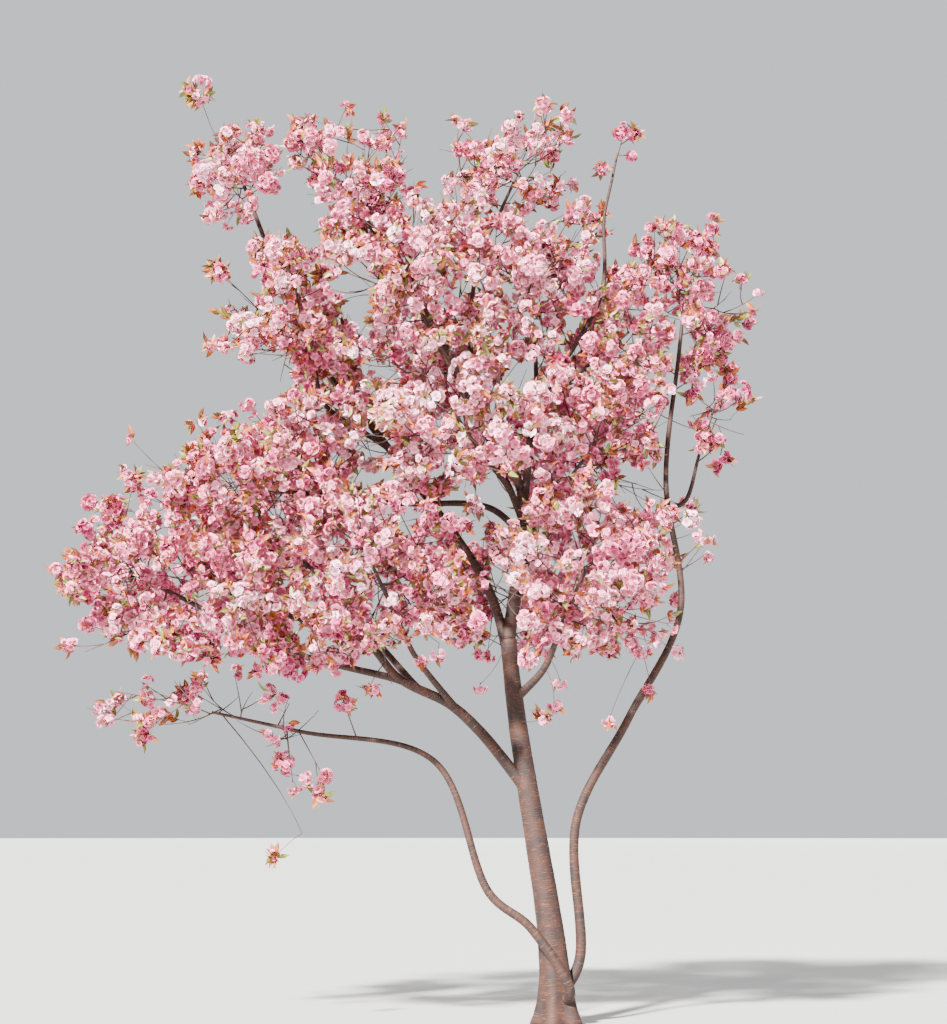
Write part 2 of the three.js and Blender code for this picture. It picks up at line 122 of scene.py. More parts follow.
# %% Finish helper
MIX_INPUTS = (0, 6, 7)
MIX_OUTPUT = 2


class Finish:
    """A node material: add() makes a node, sets its sockets and links the outputs given for them."""

    def __init__(self, name, **settings):
        self.material = bpy.data.materials.new(name)
        self.material.use_nodes = True
        self.tree = self.material.node_tree
        self.shader = self.tree.nodes["Principled BSDF"]
        for socket, value in settings.items():
            self.shader.inputs[socket].default_value = value

    def put(self, node, socket, value):
        """Links another node's output to the socket, or sets the socket to a plain value."""
        if isinstance(value, bpy.types.NodeSocket):
            self.tree.links.new(value, node.inputs[socket])
        else:
            node.inputs[socket].default_value = value

    def add(self, kind, inputs=None, **settings):
        node = self.tree.nodes.new("ShaderNode" + kind)
        for name, value in settings.items():
            setattr(node, name, value)
        for socket, value in (inputs or {}).items():
            self.put(node, socket, value)
        return node

    def ramp(self, factor, *stops):
        """A colour that changes between two stops, each a position and a colour."""
        node = self.add("ValToRGB", {"Fac": factor})
        for element, (position, value) in zip(node.color_ramp.elements, stops):
            element.position = position
            element.color = value
        return node.outputs["Color"]

    def mix(self, kind, factor, first, second):
        node = self.add("Mix", data_type="RGBA", blend_type=kind)
        for socket, value in zip(MIX_INPUTS, (factor, first, second)):
            self.put(node, socket, value)
        return node.outputs[MIX_OUTPUT]

    def into(self, socket, value):
        self.put(self.shader, socket, value)

    def bump(self, height, distance, strength):
        node = self.add("Bump", {"Height": height, "Distance": distance, "Strength": strength})
        self.into("Normal", node.outputs["Normal"])


# %% [markdown]
# ## Floor
# A plain pale floor shows the tree's own colours and catches its shadow. A plane would do, but a round sheet
# that is far wider than the view has no corner that could show. Its tone changes only a little and slowly.

# %% Floor
FLOOR = {"radius": 300.0, "sides": 96}
floor_shape = bmesh.new()
bmesh.ops.create_circle(floor_shape, cap_ends=True, segments=FLOOR["sides"], radius=FLOOR["radius"])
floor_mesh = bpy.data.meshes.new("floor")
floor_shape.to_mesh(floor_mesh)
floor_shape.free()

floor_finish = Finish("pale_floor", Roughness=0.8)
floor_place = floor_finish.add("TexCoord").outputs["Object"]
floor_share = {"Vector": floor_place, "Location": [0.5] * 3, "Scale": [0.5 / FLOOR["radius"]] * 3}
floor_spread = floor_finish.add("Mapping", floor_share).outputs["Vector"]
floor_noise = floor_finish.add("TexNoise", {"Vector": floor_spread, "Scale": 3.0, "Detail": 4.0})
floor_stops = (0.35, colour(176, 175, 172)), (0.65, colour(184, 183, 180))
floor_tone = floor_finish.ramp(floor_noise.outputs["Fac"], *floor_stops)
floor_finish.into("Base Color", floor_tone)
floor_mesh.materials.append(floor_finish.material)
add_object("floor", floor_mesh)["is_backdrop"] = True

# %% [markdown]
# ## Light
# A sun lamp from the upper left gives the direction of the light in the photograph. It is infinitely far
# away, so it lights the floor evenly, where an area lamp would leave a bright pool. Two large area lamps open
# the shade and draw an edge from behind, and a pale surrounding fills the rest.

# %% Studio light
LAMPS = {
    "key": {"kind": "SUN", "place": (-9.0, -14.0, 17.0), "spread": 0.08, "power": 30.0},
    "fill": {"kind": "AREA", "place": (11.0, -11.0, 7.0), "spread": 9.0, "power": 250.0},
    "rim": {"kind": "AREA", "place": (4.0, 12.0, 11.0), "spread": 6.0, "power": 700.0},
}
SURROUNDING = {"colour": colour(238, 240, 244), "strength": 0.95}
for name, lamp in LAMPS.items():
    light = add_object(name, bpy.data.lights.new(name, lamp["kind"]))
    light.data.energy = lamp["power"]
    setattr(light.data, "angle" if lamp["kind"] == "SUN" else "size", lamp["spread"])
    light.location = lamp["place"]
    light.rotation_euler = (AIM - light.location).to_track_quat("-Z", "Y").to_euler()
world = bpy.data.worlds.new("studio")
world.use_nodes = True
surrounding = world.node_tree.nodes["Background"]
surrounding.inputs["Color"].default_value = SURROUNDING["colour"]
surrounding.inputs["Strength"].default_value = SURROUNDING["strength"]
bpy.context.scene.world = world

# %% [markdown]
# ## The tree's sizes
# The limbs and the masses of blossom are the ones that the solids were grown from, so their sizes are
# repeated here, in millimetres. The lines could also be measured from the solids, but the rule that grew them
# needs the same values to start from. The trunk comes first, with its root flare, and the collar by which a
# limb is thicker where it forks off its parent.

# %% Sizes of the trunk
MM = 0.001
JOINT_GAP = 0.3
TRUNK_LINE = [(0, 0, 0), (0, 0, 900), (-300, 0, 1900), (-400, 0, 3165)]
TRUNK_RADIUS = (118, 66)
ROOT_FLARE = {"swell": 88, "height": 260, "lobes": 5, "share": 0.34}
COLLAR = {"share": 0.22, "length": 90}
ENTRY_SHARE = 0.7
LIMB_STEP_LENGTH = 520
LIMB_LEAST_STEPS = 3
TRUNK_STEPS = 8

# %% [markdown]
# Each limb grows out of its parent at a share of the parent's length, bends through its via points, and ends
# at its tip or where it enters the mass that it carries. Its two radii are at its foot and at its tip.

# %% Sizes of the limbs
LIMBS = {
    "leader": {
        "on": "trunk", "at": 1, "radii": (60, 44),
        "via": [(-335, 0, 3590), (-250, 0, 4090)],
        "tip": (-285, 0, 4435),
    },
    "left_leader": {
        "on": "leader", "at": 1, "radii": (42, 18),
        "via": [(-360, 15, 4620), (-660, 50, 5060), (-985, 90, 5800)],
        "mass": "top_inner_left",
    },
    "right_leader": {
        "on": "leader", "at": 0.9, "radii": (34, 12),
        "via": [(-130, -30, 5250), (80, -40, 5540), (410, -50, 6150), (440, -40, 6830)],
        "mass": "leader_tip",
    },
    "top_centre_bough": {
        "on": "left_leader", "at": 0.22, "radii": (26, 16),
        "via": [(-720, 40, 5700), (-640, 60, 6500)],
        "mass": "top_centre",
    },
    "upper_centre_bough": {
        "on": "left_leader", "at": 0.32, "radii": (26, 18),
        "via": [(-960, -150, 5600)],
        "mass": "upper_centre",
    },
    "right_inner_bough": {
        "on": "right_leader", "at": 0.3, "radii": (22, 16),
        "via": [(110, 10, 5370)],
        "mass": "right_inner",
    },
    "upper_mid_bough": {
        "on": "right_leader", "at": 0.3, "radii": (24, 17),
        "via": [(-160, 30, 5620)],
        "mass": "upper_mid",
    },
    "centre_bough": {
        "on": "leader", "at": 0.8, "radii": (30, 20),
        "via": [(-420, -380, 4420)],
        "mass": "centre_front",
    },
    "left_middle_bough": {
        "on": "leader", "at": 0.68, "radii": (30, 20),
        "via": [(-560, -40, 4280), (-1300, -150, 4300)],
        "mass": "left_shoulder",
    },
    "right_middle_bough": {
        "on": "leader", "at": 0.35, "radii": (30, 20),
        "via": [(-100, -60, 4010), (250, -110, 4380)],
        "mass": "right_middle",
    },
    "top_left_bough": {
        "on": "trunk", "at": 0.95, "radii": (44, 20),
        "via": [(-590, 30, 3640), (-1480, 150, 4900), (-2190, 230, 5830)],
        "mass": "top_left",
    },
    "left_upper_bough": {
        "on": "top_left_bough", "at": 0.48, "radii": (25, 17),
        "via": [(-1980, 20, 5200)],
        "mass": "left_upper",
    },
    "left_low_bough": {
        "on": "trunk", "at": 0.6, "radii": (52, 24),
        "via": [(-650, -90, 2400), (-890, -150, 2610), (-1310, -220, 2820), (-1590, -280, 3120)],
        "mass": "lower_left",
    },
    "lower_centre_bough": {
        "on": "left_low_bough", "at": 0.36, "radii": (30, 20),
        "via": [(-1180, -480, 3000)],
        "mass": "lower_centre",
    },
    "far_left_bough": {
        "on": "left_low_bough", "at": 0.56, "radii": (32, 20),
        "via": [(-2300, 100, 3090)],
        "mass": "far_left",
    },
    "back_left_bough": {
        "on": "left_low_bough", "at": 0.5, "radii": (31, 20),
        "via": [(-1500, 300, 3150), (-1950, 760, 3700)],
        "mass": "back_left",
    },
    "low_left_stem": {
        "on": "trunk", "at": 0.045, "radii": (44, 17),
        "via": [(95, -190, 270), (-230, -250, 790), (-560, -240, 1060), (-1020, -210, 2140)],
        "mass": "low_skirt",
    },
    "right_stem": {
        "on": "trunk", "at": 0.06, "radii": (46, 18),
        "via": [(180, 40, 500), (165, 20, 1650), (600, -20, 2490), (1060, 100, 3400), (960, 150, 4550)],
        "mass": "upper_right",
    },
    "far_right_bough": {
        "on": "right_stem", "at": 0.76, "radii": (21, 13),
        "via": [(1110, 120, 4350)],
        "mass": "far_right",
    },
    "lower_right_bough": {
        "on": "trunk", "at": 0.84, "radii": (38, 23),
        "via": [(-110, -140, 2900)],
        "mass": "lower_right",
    },
    "back_low_bough": {
        "on": "trunk", "at": 0.9, "radii": (36, 20),
        "via": [(-390, 400, 3150)],
        "mass": "back_low",
    },
    "back_up_bough": {
        "on": "leader", "at": 0.75, "radii": (33, 20),
        "via": [(-480, 360, 4700)],
        "mass": "back_up",
    },
    "back_right_bough": {
        "on": "leader", "at": 0.5, "radii": (32, 20),
        "via": [(-90, 400, 4300)],
        "mass": "back_right",
    },
}

# %% [markdown]
# Each mass fills one or two lobes: round spaces with a centre and half sizes. Its spray size is how far a
# spray of its blossom reaches each way.

# %% Sizes of the masses
MASSES = {
    "top_left": {"spray": 250, "lobes": [
        ((-2720, 0, 7200), (560, 560, 660)),
        ((-3140, -60, 8060), (330, 300, 320))]},
    "top_inner_left": {"spray": 208, "lobes": [
        ((-1820, 150, 7170), (640, 600, 600)),
        ((-2140, 100, 7470), (400, 380, 330))]},
    "top_centre": {"spray": 235, "lobes": [((-300, 60, 7260), (720, 640, 620))]},
    "leader_tip": {"spray": 150, "lobes": [((560, -40, 7400), (280, 270, 400))]},
    "upper_centre": {"spray": 285, "lobes": [
        ((-1270, -500, 6130), (1000, 840, 830)),
        ((-930, -200, 6760), (540, 500, 440))]},
    "upper_mid": {"spray": 280, "lobes": [
        ((-210, 60, 6230), (820, 780, 840)),
        ((-20, 60, 6760), (560, 500, 450))]},
    "right_inner": {"spray": 240, "lobes": [((660, 180, 5860), (720, 720, 760))]},
    "upper_right": {"spray": 235, "lobes": [
        ((1150, 200, 6170), (590, 660, 680)),
        ((1180, 200, 5530), (520, 540, 540))]},
    "centre_front": {"spray": 300, "lobes": [
        ((-870, -880, 4940), (970, 860, 800)),
        ((-1480, -600, 4830), (540, 500, 540))]},
    "left_upper": {"spray": 250, "lobes": [
        ((-2150, -350, 5860), (700, 720, 740)),
        ((-1850, -250, 5480), (520, 500, 440))]},
    "left_shoulder": {"spray": 295, "lobes": [
        ((-2560, -350, 4400), (1000, 940, 640)),
        ((-1950, -300, 4950), (620, 580, 520))]},
    "far_left": {"spray": 290, "lobes": [((-3610, 0, 3740), (800, 860, 680))]},
    "lower_left": {"spray": 290, "lobes": [
        ((-2710, -750, 3480), (860, 870, 660)),
        ((-2700, -450, 2960), (620, 450, 330))]},
    "lower_centre": {"spray": 300, "lobes": [((-1500, -860, 3670), (900, 840, 860))]},
    "lower_right": {"spray": 295, "lobes": [
        ((230, -640, 3700), (900, 900, 820)),
        ((700, -560, 3300), (460, 440, 420))]},
    "right_middle": {"spray": 290, "lobes": [((360, -150, 4950), (760, 840, 820))]},
    "far_right": {"spray": 205, "lobes": [((1400, 150, 5230), (450, 500, 740))]},
    "low_skirt": {"spray": 255, "lobes": [
        ((-2880, -60, 2550), (1200, 640, 480)),
        ((-2130, -150, 1860), (340, 310, 630))]},
    "back_low": {"spray": 305, "lobes": [((-320, 1050, 3640), (920, 840, 710))]},
    "back_left": {"spray": 345, "lobes": [((-2680, 1150, 4370), (1150, 860, 890))]},
    "back_up": {"spray": 335, "lobes": [((-1320, 1080, 5800), (1100, 860, 890))]},
    "back_right": {"spray": 325, "lobes": [((330, 1080, 4920), (970, 860, 910))]},
}
print("limbs:", len(LIMBS) + 1, "masses:", len(MASSES))

# %% [markdown]
# ## Chance that repeats
# A tree looks natural when no two twigs are alike, but every run has to grow the same tree. A seeded
# generator gives numbers that look random and always come in the same order. This is the same small generator
# that grew the solids, so the twigs below start out as the solids' own twigs.

# %% Seeded numbers
WORD = 0xFFFFFFFF
SEED_STEP = 0x6D2B79F5


def seeded_random(seed):
    state = seed & WORD

    def draw():
        nonlocal state
        state = (state + SEED_STEP) & WORD
        mixed = ((state ^ (state >> 15)) * (state | 1)) & WORD
        mixed ^= (mixed + (((mixed ^ (mixed >> 7)) * (mixed | 61)) & WORD)) & WORD
        return (mixed ^ (mixed >> 14)) / (WORD + 1)

    return draw


# %% [markdown]
# ## Centrelines
# Wood bends smoothly, so each limb follows a curve through its points. Blender's curve objects could do this,
# but the growing rule asks for the place and the heading at any share of the length, so the curve is worked
# out with a short formula instead.

# %% Smooth lines
def spline(points):
    """A smooth line through the points, as a function of a share from 0 to 1."""
    points = np.array(points, float)
    spans = len(points) - 1
    p = np.vstack([2 * points[0] - points[1], points, 2 * points[-1] - points[-2]])

    def place(share):
        along = np.atleast_1d(share) * spans
        i = np.minimum(along.astype(int), spans - 1)
        w = (along - i)[:, None]
        p0, p1, p2, p3 = p[i], p[i + 1], p[i + 2], p[i + 3]
        gaps = ((p0, p1), (p1, p2), (p2, p3))
        d0, d1, d2 = (np.sqrt(np.linalg.norm(b - a, axis=1))[:, None] for a, b in gaps)
        m1 = d1 * ((p1 - p0) / d0 - (p2 - p0) / (d0 + d1) + (p2 - p1) / d1)
        m2 = d1 * ((p2 - p1) / d1 - (p3 - p1) / (d1 + d2) + (p3 - p2) / d2)
        return p1 + m1 * w + (3 * (p2 - p1) - 2 * m1 - m2) * w**2 + (2 * (p1 - p2) + m1 + m2) * w**3

    return place


def bezier(points):
    """A line from the first point to the last that leans towards the two between them."""
    a, b, c, d = np.array(points, float)

    def place(share):
        t = np.atleast_1d(share)[:, None]
        return a * (1 - t) ** 3 + 3 * b * t * (1 - t) ** 2 + 3 * c * t**2 * (1 - t) + d * t**3

    return place


# %% [markdown]
# A formula's own share doesn't run evenly along the line. Measuring the line once in small steps gives a
# table from which any share of the true length can be looked up.

# %% Places by length
SAMPLES = 200
NUDGE = 0.0001


class Centreline:
    """A curve that is asked by share of its length."""

    def __init__(self, place):
        self.place = place
        self.shares = np.linspace(0, 1, SAMPLES + 1)
        steps = np.linalg.norm(np.diff(place(self.shares), axis=0), axis=1)
        self.run = np.concatenate([[0], np.cumsum(steps)])
        self.length = self.run[-1]

    def share(self, part):
        return np.interp(np.asarray(part) * self.length, self.run, self.shares)

    def at(self, part):
        return self.place(self.share(part))

    def heading(self, part):
        share = self.share(part)
        ahead = self.place(np.minimum(share + NUDGE, 1)) - self.place(np.maximum(share - NUDGE, 0))
        return ahead / np.linalg.norm(ahead, axis=1)[:, None]


# %% [markdown]
# ## The limbs' lines
# The trunk follows its own leaning curve. Every other limb starts inside its parent, or at its parent's tip,
# and the last point of a limb that carries blossom lies where it enters the mass.

# %% Grow the limbs' lines
def unit(vector):
    return vector / np.linalg.norm(vector)


def lobe_reach(half, direction):
    return 1 / np.linalg.norm(direction / np.array(half))


def limb_points(limb, parent):
    start = parent["line"].at(limb["at"])[0]
    if limb["at"] == 1:
        start = start + JOINT_GAP * parent["line"].heading(1)[0]
    points = [start, *limb["via"]]
    if "tip" in limb:
        return [*points, limb["tip"]]
    centre, half = MASSES[limb["mass"]]["lobes"][0]
    inward = unit(np.array(centre) - np.array(points[-1]))
    return [*points, np.array(centre) - ENTRY_SHARE * lobe_reach(half, inward) * inward]


trunk = {"line": Centreline(bezier(TRUNK_LINE)), "radii": TRUNK_RADIUS, "at": 0, "steps": TRUNK_STEPS}
limbs = {"trunk": trunk}
for name, limb in LIMBS.items():
    line = Centreline(spline(limb_points(limb, limbs[limb["on"]])))
    steps = max(LIMB_LEAST_STEPS, round(line.length / LIMB_STEP_LENGTH))
    limbs[name] = {**limb, "line": line, "steps": steps}
print("metres of limb:", round(sum(limb["line"].length for limb in limbs.values()) * MM, 1))

# %% [markdown]
# ## Room to grow
# A twig may not touch a limb. Limbs are kept as short straight stretches with a radius, because the distance
# from a point to a straight stretch is quick to work out for thousands of points at once, and a search
# through the real surfaces would be slow.

# %% Stretches of wood
SPACE_MARGIN = 6
TRUNK_CLEARANCE = TRUNK_RADIUS[0]


def limb_radius(limb, share):
    foot, tip = limb["radii"]
    joint = COLLAR["share"] * np.exp(-share * limb["line"].length / COLLAR["length"])
    return (foot + (tip - foot) * share) * (1 + joint * (limb["at"] not in (0, 1)))


def limb_stretches(limb):
    steps = limb["steps"] * 2
    shares = np.arange(steps + 1) / steps
    places = limb["line"].at(shares)
    radii = limb_radius(limb, shares[:-1]) if limb["at"] else np.full(steps, TRUNK_CLEARANCE)
    return places[:-1], places[1:], radii + SPACE_MARGIN


def joined_stretches(parts):
    return tuple(np.concatenate(column) for column in zip(*parts))


def clearance(points, stretches):
    """How far each point is from the nearest stretch's surface."""
    starts, ends, radii = stretches
    if not len(starts):
        return np.full(len(points), np.inf)
    along = ends - starts
    share = np.einsum("pmk,mk->pm", points[:, None] - starts, along) / (along**2).sum(1)
    nearest = starts + np.clip(share, 0, 1)[..., None] * along
    return (np.linalg.norm(points[:, None] - nearest, axis=2) - radii).min(1)


WOOD = joined_stretches([limb_stretches(limb) for limb in limbs.values()])
print("stretches of wood:", len(WOOD[0]))

# %% [markdown]
# A twig also stays in its own mass's space. The border between two masses is the flat plane on which both are
# equally near, counted with their sizes, so no two masses can ever reach into one another.

# %% Own space of each mass
LOBES = [(name, np.array(centre, float), (sum(half) / 3) ** 2)
         for name, mass in MASSES.items() for centre, half in mass["lobes"]]
LOBE_NAMES = np.array([name for name, _, _ in LOBES])
LOBE_CENTRES = np.array([centre for _, centre, _ in LOBES])
LOBE_WEIGHTS = np.array([weight for _, _, weight in LOBES])


def border_room(name, points):
    """How far each point is inside its mass's borders to the other masses."""
    power = ((points[:, None] - LOBE_CENTRES) ** 2).sum(2) - LOBE_WEIGHTS
    own = LOBE_NAMES == name
    home = np.flatnonzero(own)[power[:, own].argmin(1)]
    lead = power[:, ~own] - power[np.arange(len(points)), home][:, None]
    apart = np.linalg.norm(LOBE_CENTRES[home][:, None] - LOBE_CENTRES[~own], axis=2)
    return (lead / (2 * apart)).min(1) - SPACE_MARGIN


def nearest_mass(place):
    power = ((place - LOBE_CENTRES) ** 2).sum(1) - LOBE_WEIGHTS
    return LOBE_NAMES[power.argmin()]


# %% [markdown]
# ## The branching rule
# Sprays want to sit evenly over a lobe's shell. Random places would leave clumps and holes, so a golden
# spiral spreads them, and only their depth is left to chance.

# %% Places for sprays
GOLDEN_ANGLE = math.pi * (3 - math.sqrt(5))
FULL_TURN = 2 * math.pi
SHELL = {"places": 60, "depths": (1, 0.92, 1, 0.72), "jitter": 0.08, "overlap": 0.12}


def spray_places(lobe, reach, shell, random):
    centre, half = lobe
    turn = random() * FULL_TURN
    count = shell["places"]
    places = []
    for index in range(count):
        rise = 1 - 2 * (index + 0.5) / count
        ring = math.sqrt(1 - rise * rise)
        angle = turn + index * GOLDEN_ANGLE
        depth = shell["depths"][index % len(shell["depths"])] * (1 - shell["jitter"] * random())
        direction = np.array([ring * math.cos(angle), ring * math.sin(angle), rise])
        places.append(direction * (np.array(half) - reach) * depth + centre)
    return places


# %% [markdown]
# A stem takes over at the bough's tip and runs to the middle of the mass, with buds at even steps. A twig
# runs straight from its bud to its spray, gets thinner from parent to child, and has buds of its own up to
# where its spray starts. Plain dictionaries that point to one another are enough for such a family tree.

# %% Buds and twigs
STEM = {"lead": 60, "taper": 0.7}
TWIG = {"share": 0.5, "least": 6, "taper": 0.85, "checks": (0.2, 0.4, 0.6, 0.8)}
BUD_SPACING = 40
SLIMNESS = 0.7


def bud_shares(length, lead):
    count = max(0, math.floor((length - lead) / BUD_SPACING))
    return (lead + (np.arange(count) + 1) * BUD_SPACING) / length


def grow_stem(bough):
    """The stem that takes over at the bough's tip, and the buds along it."""
    ahead = bough["line"].heading(1)[0]
    base = bough["line"].at(1)[0] + JOINT_GAP * ahead
    line = Centreline(spline([base, base + STEM["lead"] * ahead, MASSES[bough["mass"]]["lobes"][0][0]]))
    foot = bough["radii"][1]
    buds = [{"place": line.at(s)[0], "heading": line.heading(s)[0], "path": s * line.length,
             "radius": foot * (1 + (STEM["taper"] - 1) * s), "twig": None, "share": s}
            for s in bud_shares(line.length, STEM["lead"])]
    return {"line": line, "radii": (foot, foot * STEM["taper"])}, buds


def twig_from(bud, centre, reach):
    away = centre - bud["place"]
    length = np.linalg.norm(away)
    heading = away / length
    radius = max(TWIG["least"], TWIG["share"] * bud["radius"])
    twig = {"bud": bud, "centre": centre, "heading": heading, "length": length, "radius": radius,
            "reach": reach, "width": reach * SLIMNESS}
    bare = length - reach
    twig["buds"] = [{"twig": twig, "place": bud["place"] + heading * s * bare, "heading": heading,
                     "path": bud["path"] + s * bare, "radius": radius * (1 + (TWIG["taper"] - 1) * s),
                     "share": s * bare / length}
                    for s in (bud_shares(bare, 0) if bare > 0 else ())]
    return twig


# %% [markdown]
# A spray or twig that would leave the mass's space, or touch a limb, another twig or another spray, isn't
# grown. Sprays and twigs are turned into the same straight stretches as the limbs for that test.

# %% Room for a twig
def spray_stretches(twigs):
    half = [t["heading"] * (t["reach"] - t["width"]) for t in twigs]
    starts = np.array([t["centre"] - h for t, h in zip(twigs, half)]).reshape(-1, 3)
    ends = np.array([t["centre"] + h for t, h in zip(twigs, half)]).reshape(-1, 3)
    return starts, ends, np.array([t["width"] for t in twigs])


def twig_stretches(twigs):
    starts = np.array([t["bud"]["place"] for t in twigs]).reshape(-1, 3)
    ends = np.array([t["centre"] for t in twigs]).reshape(-1, 3)
    return starts, ends, np.array([t["radius"] for t in twigs])


def roomy(name, points, width, sprays, overlap):
    free = (border_room(name, points) >= width) & (clearance(points, WOOD) >= width)
    return free & (clearance(points, sprays) >= width * (1 - overlap))


def twig_fits(name, twig, twigs):
    others = [t for t in twigs if t is not twig["bud"]["twig"]]
    checks = np.array(TWIG["checks"])[:, None]
    points = twig["bud"]["place"] + (twig["centre"] - twig["bud"]["place"]) * checks
    blocks = joined_stretches([WOOD, twig_stretches(others), spray_stretches(others)])
    room = np.minimum(border_room(name, points), clearance(points, blocks))
    return bool((room >= twig["radius"]).all())


# %% [markdown]
# Each new twig grows from the bud that gives its spray the shortest way back to the bough, so the twigs fork
# as a real crown's do. Testing every bud in turn would be slow, so the cheap tests are made for all the buds
# at once, and the dear one only down the list until a bud passes it.

# %% The best bud for a spray
PATH_WEIGHT = 0.4
TURN_LIMIT = -0.4


def best_twig(name, buds, place, reach, twigs, overlap):
    width = reach * SLIMNESS
    sprays = spray_stretches(twigs)
    if not roomy(name, place[None], width, sprays, overlap)[0]:
        return None
    starts = np.array([bud["place"] for bud in buds])
    away = place - starts
    length = np.linalg.norm(away, axis=1)
    heading = away / length[:, None]
    turn = (heading * np.array([bud["heading"] for bud in buds])).sum(1)
    ends = np.concatenate([place - heading * (reach - width), place + heading * (reach - width)])
    free = roomy(name, ends, width, sprays, overlap).reshape(2, -1).all(0) & (turn > TURN_LIMIT)
    cost = length + PATH_WEIGHT * np.array([bud["path"] for bud in buds])
    for index in np.argsort(cost, kind="stable"):
        if free[index]:
            twig = twig_from(buds[index], place, reach)
            if twig_fits(name, twig, twigs):
                return twig
    return None


# %% [markdown]
# One generation of twigs is grown from the nearest place outwards, so that far sprays find the buds of near
# ones. A bud that has been used goes off the list, and the new twig's own buds come on.

# %% Grow one generation of twigs
JITTER = 0.2


def grow_twigs(name, buds, twigs, size, shell, random):
    base = buds[0]["place"]
    places = [place for lobe in MASSES[name]["lobes"] for place in spray_places(lobe, size, shell, random)]
    if "border" in shell:
        room = border_room(name, np.array(places))
        places = [place for place, space in zip(places, room) if space < shell["border"]]
    places.sort(key=lambda place: np.linalg.norm(place - base))
    for place in places:
        reach = size * (1 - JITTER * random())
        twig = best_twig(name, buds, place, reach, twigs, shell["overlap"])
        if twig:
            twigs.append(twig)
            buds[:] = [bud for bud in buds if bud is not twig["bud"]] + twig["buds"]


# %% [markdown]
# Here and there a shoot of young leaves stands out of the blossom. The solids have a blade there, and the
# blade's line is worked out again, so that the leaves can sit along it later.

# %% Leafy shoots
LEAF_BLADE = {"length": 300, "root": 60, "every": 4, "lift": 0.55, "width": 105, "checks": (0.5, 1)}


def leafy_shoot(name, twig, random):
    """The line of a leafy shoot that stands out of a spray, or None where there is no room for it."""
    spin = random() * FULL_TURN
    direction = unit(np.array([math.cos(spin), math.sin(spin), LEAF_BLADE["lift"]]) + twig["heading"])
    start = twig["centre"] + direction * (twig["width"] - LEAF_BLADE["root"])
    points = np.array([start + direction * LEAF_BLADE["length"] * share for share in LEAF_BLADE["checks"]])
    room = np.minimum(border_room(name, points), clearance(points, WOOD))
    return (twig, start, direction) if (room >= LEAF_BLADE["width"] / 2).all() else None


# %% [markdown]
# First the solids' own twigs are grown again, from the same seeds. Then the same rule is carried on with
# sprays of about half the size, which fill the room that is left between the first ones. A third round knits
# neighbouring masses together: it looks just past the lobes, but only near a border to another mass, so that
# the crown closes up and its outline stays. Four thin masses at the crown's edge go without that round.

# %% Grow the crown
FILL = {"share": 0.56, "places": 150, "depths": (1, 0.9, 0.97, 0.66), "jitter": 0.1, "overlap": 0.3}
KNIT = {"share": 0.46, "places": 190, "depths": (1.1, 1.24, 1.02, 1.38), "jitter": 0.08, "overlap": 0.35,
        "border": 420}
THIN_MASSES = ("leader_tip", "low_skirt", "far_right", "top_left")

crown = {}
solid_sprays = 0
for seed, bough in enumerate((limb for limb in limbs.values() if "mass" in limb), start=1):
    name = bough["mass"]
    random = seeded_random(seed)
    stem, buds = grow_stem(bough)
    twigs, shoots = [], []
    grow_twigs(name, buds, twigs, MASSES[name]["spray"], SHELL, random)
    solid_sprays += len(twigs)
    for index, twig in enumerate(twigs):
        # A solid spray's turn takes one number here, so one is drawn to keep the order.
        random()
        if index % LEAF_BLADE["every"] == 0:
            shoots.append(leafy_shoot(name, twig, random))
    for shell in (FILL,) if name in THIN_MASSES else (FILL, KNIT):
        grow_twigs(name, buds, twigs, MASSES[name]["spray"] * shell["share"], shell, random)
    crown[name] = {"stem": stem, "twigs": twigs, "shoots": [shoot for shoot in shoots if shoot]}
print("sprays of the solids:", solid_sprays)
print("sprays in all:", sum(len(part["twigs"]) for part in crown.values()))

# %% [markdown]
# ## Meshes from arrays
# A few limbs can be modelled one by one, but a crown has thousands of twigs, flowers and leaves. Those are
# modelled once each, and their copies are written straight into one joined mesh, because thousands of
# separate objects are slow and don't leave Blender well. These helpers write arrays into a mesh, turn a small
# model to many headings at once, and copy it there.

# %% Joined meshes
TINY = 1e-9
STEEP = 0.9


def normalized(vectors):
    return vectors / np.maximum(np.linalg.norm(vectors, axis=-1, keepdims=True), TINY)


def mesh_of(name, points, polygons, **values):
    """A mesh from points and from arrays of polygons, with a number at each point for every named value."""
    mesh = bpy.data.meshes.new(name)
    mesh.vertices.add(len(points))
    mesh.vertices.foreach_set("co", points.astype(np.float32).ravel())
    mesh.loops.add(sum(p.size for p in polygons))
    mesh.loops.foreach_set("vertex_index", np.concatenate([p.ravel() for p in polygons]))
    totals = np.concatenate([np.full(len(p), p.shape[1]) for p in polygons])
    mesh.polygons.add(len(totals))
    mesh.polygons.foreach_set("loop_start", np.concatenate([[0], np.cumsum(totals)[:-1]]))
    for key, numbers in values.items():
        mesh.attributes.new(key, "FLOAT", "POINT").data.foreach_set("value", numbers.astype(np.float32))
    mesh.update(calc_edges=True)
    return mesh


def turned(directions, spins):
    """Matrices that turn a model's Z axis to each direction and spin it round that."""
    directions = normalized(directions)
    steep = np.abs(directions[:, 2:]) > STEEP
    across = normalized(np.cross(np.where(steep, [1.0, 0, 0], [0, 0, 1.0]), directions))
    over = np.cross(directions, across)
    c, s = np.cos(spins)[:, None], np.sin(spins)[:, None]
    return np.stack([across * c + over * s, over * c - across * s, directions], axis=2)


def copies(model, places, turns, sizes):
    """Points and triangles of a small model copied to many places."""
    points, triangles = model["points"], model["triangles"]
    made = np.einsum("nij,pj->npi", turns * sizes[:, None, None], points) + places[:, None]
    offsets = np.arange(len(places))[:, None, None] * len(points)
    return made.reshape(-1, 3), (triangles[None] + offsets).reshape(-1, 3)


